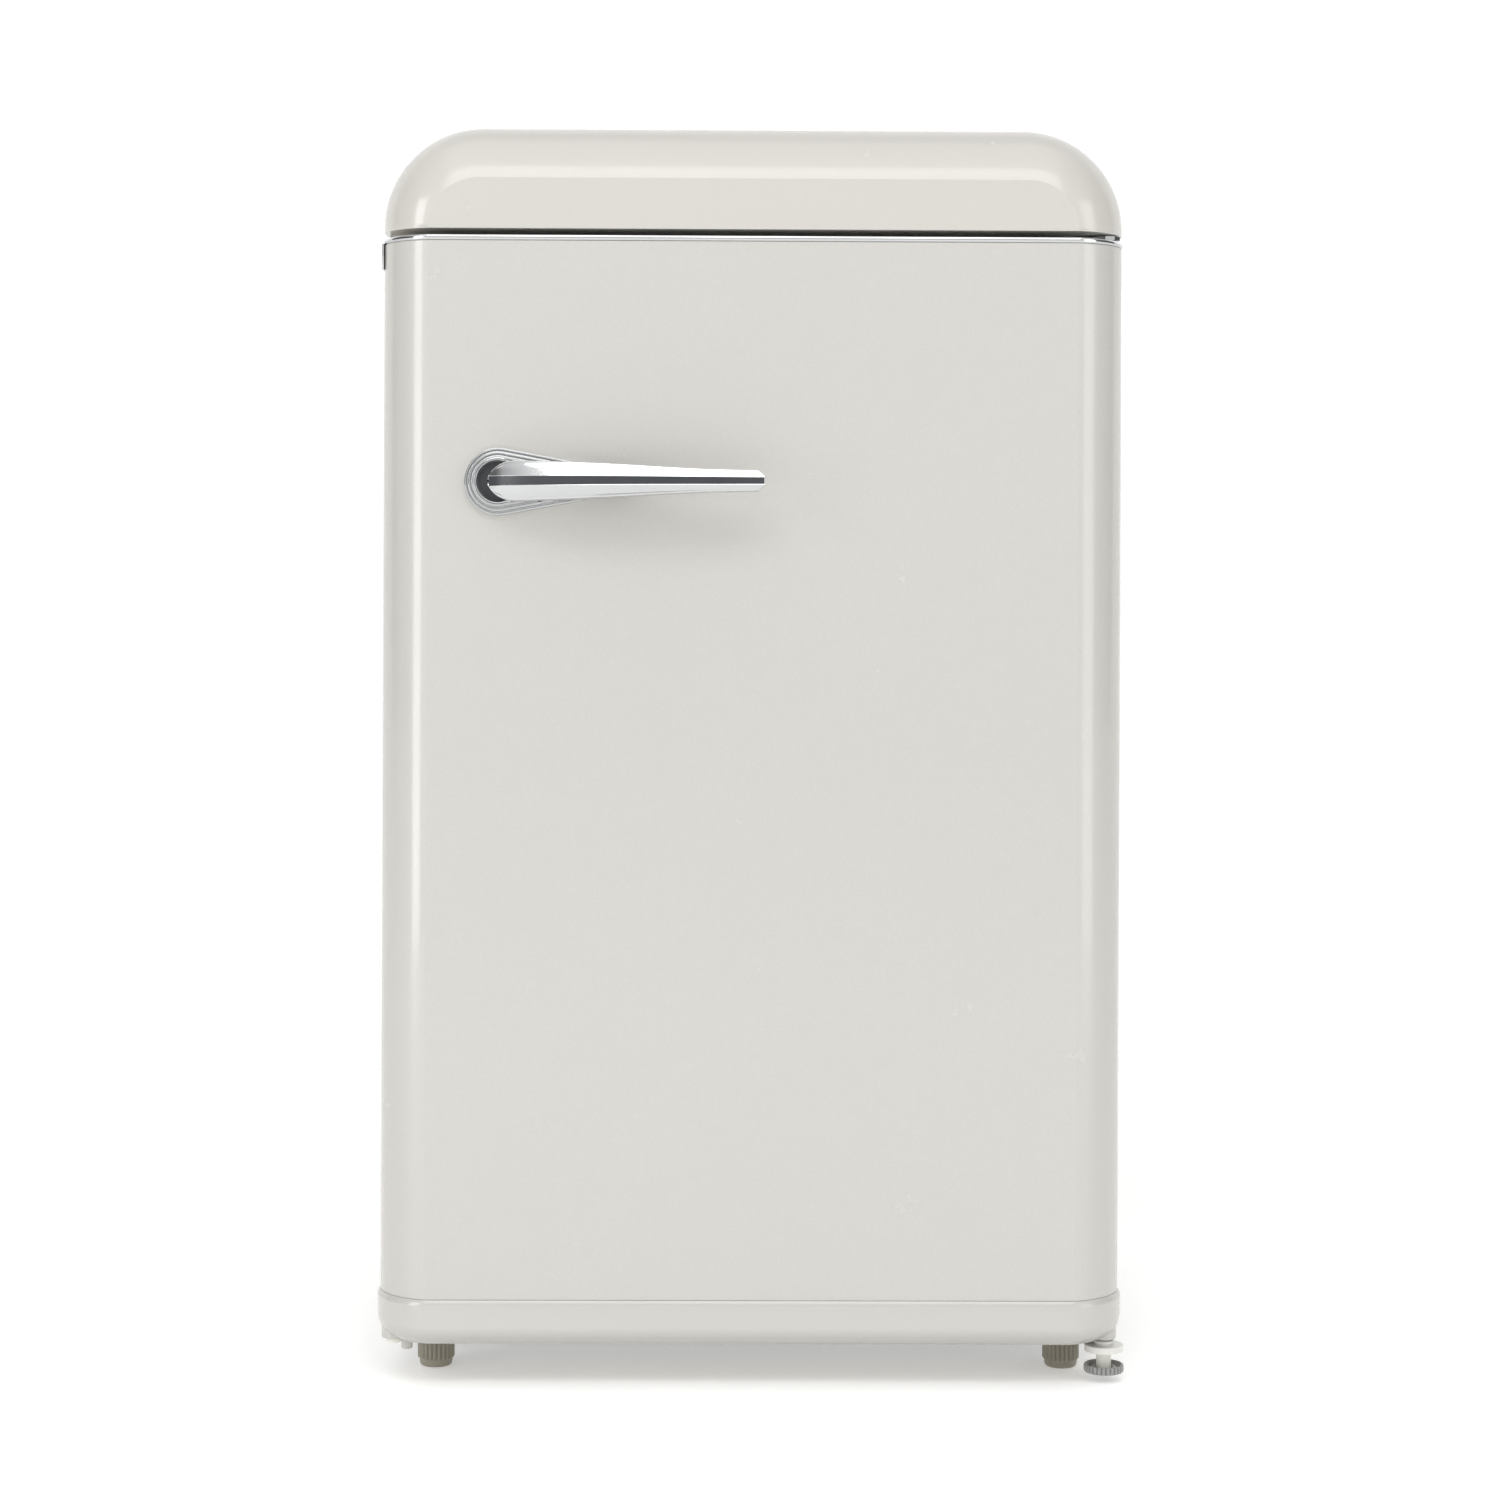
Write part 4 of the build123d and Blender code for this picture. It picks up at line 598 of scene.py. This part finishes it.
BOSS = 8.0 * MM  # outer radius round a hinge pin
HOLE = 5.4 * MM
boss_profile = [
    (HOLE, trim_bottom + 20 * MM),
    (HOLE, trim_bottom + 0.6 * MM),
    (HOLE + 0.6 * MM, trim_bottom),
    (BOSS - 1.0 * MM, trim_bottom),
    (BOSS - 0.3 * MM, trim_bottom + 0.3 * MM),
    (BOSS, trim_bottom + 1.0 * MM),
    (BOSS, trim_top - 4 * MM),
]
PEG = 3.7 * MM  # radius of the stop peg
PEG_PLACE = (-HINGE_X + 7.8 * MM, y_at(36))
peg_bottom = 17.8 * MM
peg_profile = [
    (PEG - 1.6 * MM, peg_bottom),
    (PEG - 0.5 * MM, peg_bottom + 0.5 * MM),
    (PEG, peg_bottom + 1.5 * MM),
    (PEG, trim_bottom + 3 * MM),
]
WEB_CORNERS = ((-214, 33), (-214, 39), (-224, 39), (-224, 33))  # x and depth
web_parts = skin_loops(
    [[(x * MM, y_at(depth), z * MM) for x, depth in WEB_CORNERS] for z in (22.4, 27.5)]
)
trim_verts, trim_faces = joined(
    shell_parts,
    turned_parts((-HINGE_X, HINGE_Y), boss_profile),
    turned_parts((HINGE_X, HINGE_Y), boss_profile),
    turned_parts(PEG_PLACE, peg_profile, 24),
    web_parts,
)
trim = mesh_piece("door_bottom_moulding", trim_verts, trim_faces, 24, cream_trim)
put(trim, "door", "cream_plastic", "door_bottom_trim")

# ---------------------------------------------------------------- handle
HANDLE_X = -162.5 * MM
HANDLE_Z = 579.8 * MM
TAIL_REACH = 78 * MM
TAIL_SLIM = 14.4 * MM
HEAD_POINTS, SIDE_POINTS, TAIL_POINTS = 56, 10, 12


def teardrop_loop(radius, lift):
    """Outline of a round head that narrows to a round tail, standing lift off the door."""
    tail = max(radius - TAIL_SLIM, 0.3 * MM)
    lean = math.acos((radius - tail) / TAIL_REACH)
    y = FRONT - lift
    loop = []
    for i in range(HEAD_POINTS):
        a = lean + (2 * math.pi - 2 * lean) * i / (HEAD_POINTS - 1)
        loop.append((HANDLE_X + radius * math.cos(a), y, HANDLE_Z + radius * math.sin(a)))

    def along(a, t):
        return (
            HANDLE_X + TAIL_REACH * t + (radius + (tail - radius) * t) * math.cos(a),
            y,
            HANDLE_Z + (radius + (tail - radius) * t) * math.sin(a),
        )

    loop += [along(-lean, i / SIDE_POINTS) for i in range(1, SIDE_POINTS)]
    for i in range(TAIL_POINTS):
        a = -lean + 2 * lean * i / (TAIL_POINTS - 1)
        loop.append(
            (HANDLE_X + TAIL_REACH + tail * math.cos(a), y, HANDLE_Z + tail * math.sin(a))
        )
    loop += [along(lean, 1 - i / SIDE_POINTS) for i in range(1, SIDE_POINTS)]
    return loop


def round_loop(radius, lift, like, lean):
    """Circle with its points spread like a teardrop's."""
    rest = len(like) - HEAD_POINTS
    loop = []
    for i in range(len(like)):
        if i < HEAD_POINTS:
            a = lean + (2 * math.pi - 2 * lean) * i / (HEAD_POINTS - 1)
        else:
            a = -lean + 2 * lean * (i - HEAD_POINTS + 1) / (rest + 1)
        loop.append(
            (HANDLE_X + radius * math.cos(a), FRONT - lift, HANDLE_Z + radius * math.sin(a))
        )
    return loop


# radius of the head and lift off the door, from the outer ring inwards
RING_PROFILE = (
    (21.8, 0.0),
    (21.8, 2.7),
    (21.5, 3.4),
    (20.9, 3.9),
    (20.3, 3.9),
    (19.8, 3.3),
    (19.5, 2.7),
    (19.3, 2.9),
    (19.1, 5.2),
    (18.8, 5.9),
    (18.3, 6.3),
    (17.7, 6.3),
    (17.2, 5.7),
    (16.9, 5.1),
    (16.7, 5.3),
    (16.5, 7.4),
    (16.2, 8.2),
    (15.7, 8.7),
    (15.1, 8.7),
    (14.7, 8.2),
    (14.5, 7.6),
)
RIM_PROFILE = ((14.2, 8.0), (13.9, 8.5), (13.5, 8.6), (13.1, 8.2), (13.0, 7.6), (13.0, 3.1))
base_loops = [teardrop_loop(r * MM, lift * MM) for r, lift in RING_PROFILE]
lean = math.acos(TAIL_SLIM / TAIL_REACH)
for r, lift in RIM_PROFILE:
    base_loops.append(round_loop(r * MM, lift * MM, base_loops[0], lean))
base_loops.reverse()
base_verts, base_faces = skin_loops(base_loops)
handle_base = mesh_piece("handle_ring_base", base_verts, base_faces, 38, chrome)
put(handle_base, "door", "chrome", "handle_base")

DISH_PROFILE = ((12.9, 3.05), (12.9, 3.9), (12.6, 4.0), (10.0, 3.7), (5.0, 3.5), (0.6, 3.45))
DISH_STEPS = 48
plate_loops = []
for r, lift in DISH_PROFILE:
    plate_loops.append(
        [
            (
                HANDLE_X + r * MM * math.cos(2 * math.pi * k / DISH_STEPS),
                FRONT - lift * MM,
                HANDLE_Z + r * MM * math.sin(2 * math.pi * k / DISH_STEPS),
            )
            for k in range(DISH_STEPS)
        ]
    )
plate_verts, plate_faces = skin_loops(plate_loops)
recess_plate = mesh_piece("handle_recess_dish", plate_verts, plate_faces, 30, recess_grey)
put(recess_plate, "door", "dark_plastic", "handle_recess")

# the lever's own sizes are in millimetres along it from its nose
NOSE_X = HANDLE_X - 6 * MM
LEVER_LENGTH = 175.3
REACH_POINTS = ((0, 13.0), (8, 20.0), (30, 28.5), (80, 38.0), (LEVER_LENGTH, 39.8))
HALF_POINTS = ((18.5, 12.9), (72, 11.0), (133, 7.7), (171.5, 6.7))
BACK_POINTS = ((0, 4.0), (78, 8.8), (92, 16.0), (104, 21.0), (125, 25.0), (LEVER_LENGTH, 28.0))
TIP_START = 171.5
TIP_HALF = 3.0
INLAY_HALF = 3.0
INLAY_TAPER = 0.9
FACET_FALL = 0.42


def smooth_through(points, x):
    """Cubic curve through points with slopes taken from their neighbours."""
    count = len(points)
    slopes = []
    for i in range(count):
        a = points[max(i - 1, 0)]
        b = points[min(i + 1, count - 1)]
        slopes.append((b[1] - a[1]) / (b[0] - a[0]))
    x = min(max(x, points[0][0]), points[-1][0])
    for i in range(count - 1):
        (x0, y0), (x1, y1) = points[i], points[i + 1]
        if x <= x1:
            w = x1 - x0
            t = (x - x0) / w
            return (
                (2 * t**3 - 3 * t**2 + 1) * y0
                + (t**3 - 2 * t**2 + t) * w * slopes[i]
                + (3 * t**2 - 2 * t**3) * y1
                + (t**3 - t**2) * w * slopes[i + 1]
            )
    return points[-1][1]


def lever_half(x):
    """Half the lever's height at x."""
    if x < HALF_POINTS[0][0]:
        nose = HALF_POINTS[0][0]
        return HALF_POINTS[0][1] * math.sqrt(max(0.0, 1 - ((nose - x) / nose) ** 2))
    if x > TIP_START:
        t = (x - TIP_START) / (LEVER_LENGTH - TIP_START)
        return HALF_POINTS[-1][1] * (1 - t) + TIP_HALF * t
    return smooth_through(HALF_POINTS, x)


def inlay_half(x):
    """Half the height of the dark inlay at x."""
    return INLAY_HALF - INLAY_TAPER * x / LEVER_LENGTH


lever_loops = []
stations = [0.05, 0.3, 0.8, 1.6, 2.8, 4.5, 7, 10, 14, 18.5]
stations += [24 + 8 * i for i in range(18)] + [TIP_START, 173.4, LEVER_LENGTH]
for x in stations:
    half = lever_half(x)
    reach = smooth_through(REACH_POINTS, x)
    back = min(smooth_through(BACK_POINTS, x), reach - 2.0)
    slot = min(inlay_half(x), half * 0.8)
    fall = (half - slot) * FACET_FALL
    soft = min(1.4, half * 0.2)
    edge_y = max(reach - fall - soft, back + 0.6)
    depth_of_slot = min(0.8, reach - back - 1.0)
    section = [
        (0.0, reach - depth_of_slot),
        (slot, reach - depth_of_slot),
        (slot, reach - 0.12),
        (slot + 0.25, reach),
        (slot + (half - slot) * 0.35, max(reach - fall * 0.30, edge_y)),
        (slot + (half - slot) * 0.7, max(reach - fall * 0.66, edge_y)),
        (half - soft, max(reach - fall, edge_y)),
        (half - soft * 0.45, max(reach - fall - soft * 0.2, edge_y)),
        (half - soft * 0.1, max(reach - fall - soft * 0.6, edge_y)),
        (half, edge_y),
        (half, back + 0.5),
        (half - min(0.5, half * 0.3), back),
    ]
    ring = [(z, y) for z, y in section] + [(-z, y) for z, y in reversed(section[1:])]
    lever_loops.append(
        [(NOSE_X + x * MM, FRONT - y * MM, HANDLE_Z + z * MM) for z, y in ring]
    )
lever_verts, lever_faces = skin_loops(lever_loops)
lever = mesh_piece("handle_lever_bar", lever_verts, lever_faces, 22, chrome)
put(lever, "door", "chrome", "handle_lever")

inlay_loops = []
for x in [0.9] + stations[3:-1] + [LEVER_LENGTH - 0.2]:
    reach = smooth_through(REACH_POINTS, x)
    half = min(inlay_half(x), lever_half(x) * 0.8) - 0.05
    top = reach - 0.25
    low = reach - 0.75
    inlay_loops.append(
        [
            (NOSE_X + x * MM, FRONT - y * MM, HANDLE_Z + z * MM)
            for z, y in ((-half, low), (-half, top), (0.0, top + 0.1), (half, top), (half, low))
        ]
    )
inlay_verts, inlay_faces = skin_loops(inlay_loops)
inlay = mesh_piece("handle_inlay_band", inlay_verts, inlay_faces, 30, dark_plastic)
put(inlay, "door", "dark_plastic", "handle_inlay")

# ---------------------------------------------------------------- feet
KNOB_RIBS = 24
FLUTE_DEPTH = 1.15 * MM
FLUTE_LOW, FLUTE_HIGH = 5.5 * MM, 23.0 * MM
FOOT_X = 206 * MM
FOOT_Y = y_at(66)


def in_metres(profile):
    return [(r * MM, z * MM) for r, z in profile]


def fluted(radius, z, angle):
    """Radius of a knob with round flutes between two heights."""
    if not FLUTE_LOW <= z <= FLUTE_HIGH:
        return radius
    return radius - FLUTE_DEPTH * (0.5 - 0.5 * math.cos(KNOB_RIBS * angle)) ** 2


knob_profile = [
    (3.0, 0.0),
    (8.4, 0.0),
    (9.5, 0.3),
    (10.3, 1.0),
    (10.7, 2.2),
    (10.8, 4.0),
    (10.9, 4.8),
    (11.3, 5.2),
    (12.0, 5.6),
    (12.15, 6.2),
    (12.15, 22.0),
    (12.1, 22.9),
    (11.7, 23.6),
    (10.6, 24.0),
    (4.6, 24.0),
    (4.1, 23.6),
    (4.1, 12.0),
]
for side_name, side in (("left", -1), ("right", 1)):
    knob = turned(
        f"{side_name}_ribbed_knob",
        (side * FOOT_X, FOOT_Y),
        in_metres(knob_profile),
        192,
        50,
        knob_grey,
        fluted,
    )
    put(knob, f"{side_name}_foot_knob", "grey_plastic", f"{side_name}_foot_knob")

WHEEL_TEETH = 28
TOOTH_DEPTH = 1.1 * MM
TOOTH_ROOT = 12.5 * MM  # the profile inside this radius stays round
wheel_profile = [
    (4.0, 6.5),
    (4.0, 5.2),
    (10.6, 5.2),
    (12.2, 5.6),
    (12.8, 6.3),
    (12.95, 7.2),
    (12.95, 9.4),
    (12.7, 10.2),
    (12.2, 10.6),
    (11.6, 10.5),
    (11.1, 10.0),
    (10.6, 8.4),
    (9.9, 7.6),
    (8.6, 7.5),
    (8.3, 8.4),
    (7.8, 8.8),
    (6.3, 8.8),
    (5.9, 8.5),
    (5.0, 7.2),
    (5.0, 6.4),
]


def toothed(radius, z, angle):
    """Radius of the wheel with notches round its edge."""
    if radius < TOOTH_ROOT:
        return radius
    notch = max(0.0, math.cos(WHEEL_TEETH * angle)) ** 0.6
    return radius - TOOTH_DEPTH * notch


wheel = turned(
    "hinge_foot_dish",
    (HINGE_X, HINGE_Y),
    in_metres(wheel_profile),
    224,
    35,
    wheel_grey,
    toothed,
)
put(wheel, "hinge_foot_wheel", "grey_plastic", "hinge_foot_wheel")

collar_profile = [
    (4.95, 23.2),
    (6.3, 23.2),
    (6.6, 24.2),
    (6.6, 25.2),
    (6.4, 26.0),
    (5.6, 26.4),
    (3.4, 26.4),
    (3.4, 47.0),
]
collar = turned(
    "lower_pin_collar",
    (HINGE_X, HINGE_Y),
    in_metres(collar_profile),
    48,
    35,
    bracket_white,
)
put(collar, "cabinet", "white_steel", "lower_hinge_pin")

# ---------------------------------------------------------------- door gasket
GASKET_HALF = 224
GASKET_LOW, GASKET_HIGH = 62, 726
# inset from the outer edge and depth, in millimetres
gasket_section = (
    (0.0, 43.6),
    (0.0, 46.2),
    (1.6, 47.2),
    (0.6, 48.4),
    (0.6, 52.9),
    (1.4, 53.6),
    (9.6, 53.7),
    (10.0, 53.4),
    (10.4, 53.7),
    (18.6, 53.6),
    (19.4, 52.9),
    (19.4, 50.4),
    (17.8, 49.3),
    (19.6, 48.2),
    (20.0, 46.4),
    (20.0, 43.6),
)
gasket_loops = []
for side_x, side_z in ((-1, -1), (1, -1), (1, 1), (-1, 1)):
    corner = []
    for inset, depth in gasket_section:
        z = GASKET_LOW + inset if side_z < 0 else GASKET_HIGH - inset
        corner.append((side_x * (GASKET_HALF - inset) * MM, y_at(depth), z * MM))
    gasket_loops.append(corner)
gasket_verts, gasket_faces = skin_loops(gasket_loops + [gasket_loops[0]], ends=(False, False))
gasket = mesh_piece("door_gasket_bellows", gasket_verts, gasket_faces, 30, gasket_grey)
put(gasket, "door", "gasket_rubber", "door_gasket")

# ---------------------------------------------------------------- soft edges on the rest
SOFT_EDGES = {  # bevel width in millimetres
    "glass_shelf": 0.8,
    "crisper_cover": 0.8,
    "shelf_trims": 0.9,
    "ice_box_flap": 0.9,
    "ice_box": 0.4,
    "thermostat_housing": 0.4,
    "light_switch_button": 0.3,
    "relay_cover": 0.8,
    "compressor_tray": 0.5,
    "compressor_bay_panel": 0.3,
    "compressor_bolts": 0.5,
    "compressor_grommets": 0.8,
    "condenser_brackets": 0.3,
    "upper_hinge_bracket": 0.4,
    "lower_hinge_bracket": 0.7,
    "hinge_screws": 0.5,
    "cord_gland": 0.5,
    "crisper_drawer": 0.4,
    "rear_feet": 0.6,
}
for node_name, width in SOFT_EDGES.items():
    bevel(nodes[node_name], width * MM, 2, 40)

# ---------------------------------------------------------------- floor and light
SKY_LEVEL = 0.66
SKY_FLANK = 0.12  # how much of the sky's light is left at both sides
FLANK_START, FLANK_END = 0.5, 0.98
FLOOR_GLOW = 0.3
floor_material = plastic(
    "floor_paper",
    rgb(248, 248, 247),
    0.75,
    0.004,
    grain=60,
    bump=0.02,
    Emission_Color=(1.0, 1.0, 1.0, 1.0),
    Emission_Strength=FLOOR_GLOW,
)
floor_material.cycles.emission_sampling = "NONE"
SWEEP_Y = 3.0
SWEEP_R = 1.2
SWEEP_FRONT, SWEEP_HALF, SWEEP_TOP = -6.0, 9.0, 7.0
floor_line = [(SWEEP_FRONT, 0.0)]
for i in range(13):
    a = math.pi / 2 * i / 12
    floor_line.append((SWEEP_Y + SWEEP_R * math.sin(a), SWEEP_R * (1 - math.cos(a))))
floor_line.append((SWEEP_Y + SWEEP_R, SWEEP_TOP))
floor_loops = [[(x, y, z) for x in (-SWEEP_HALF, SWEEP_HALF)] for y, z in floor_line]
floor_verts, floor_faces = skin_loops(floor_loops, closed=False)
floor = mesh_piece("floor", floor_verts, floor_faces, None, floor_material)

world = bpy.data.worlds.new("studio")
scene.world = world
world.use_nodes = True
sky = world.node_tree
sky_axes = sky.nodes.new("ShaderNodeSeparateXYZ")
sky.links.new(sky.nodes.new("ShaderNodeTexCoord").outputs["Generated"], sky_axes.inputs[0])
sideways = sky.nodes.new("ShaderNodeMath")
sideways.operation = "ABSOLUTE"
sky.links.new(sky_axes.outputs["X"], sideways.inputs[0])
flank = sky.nodes.new("ShaderNodeMapRange")
flank.interpolation_type = "SMOOTHSTEP"
sky.links.new(sideways.outputs[0], flank.inputs["Value"])
flank.inputs["From Min"].default_value = FLANK_START
flank.inputs["From Max"].default_value = FLANK_END
flank.inputs["To Min"].default_value = SKY_LEVEL
flank.inputs["To Max"].default_value = SKY_LEVEL * SKY_FLANK
backdrop = sky.nodes["Background"]
backdrop.inputs["Color"].default_value = (1.0, 1.0, 1.0, 1.0)
sky.links.new(flank.outputs["Result"], backdrop.inputs["Strength"])


def softbox(name, place, target, size, power):
    """Rectangular lamp at a place, turned to a target. size is width and height."""
    data = bpy.data.lights.new(name, "AREA")
    data.shape = "RECTANGLE"
    data.size, data.size_y = size
    data.energy = power
    lamp = bpy.data.objects.new(name, data)
    scene.collection.objects.link(lamp)
    lamp.location = place
    aim = Vector(target) - Vector(place)
    lamp.rotation_euler = aim.to_track_quat("-Z", "Y").to_euler()


softbox("overhead", (0.0, -0.6, 2.6), (0.0, -0.1, 0.5), (2.4, 1.6), 7)
softbox("front_top", (0.0, -1.9, 2.35), (0.0, -0.2, 0.6), (2.6, 0.7), 17)
softbox("left_box", (-2.1, -1.6, 0.75), (0.0, -0.2, 0.45), (0.6, 2.2), 20)
softbox("right_box", (2.15, -1.5, 0.75), (0.0, -0.2, 0.45), (0.85, 2.2), 14)
scene.view_settings.view_transform = "Standard"
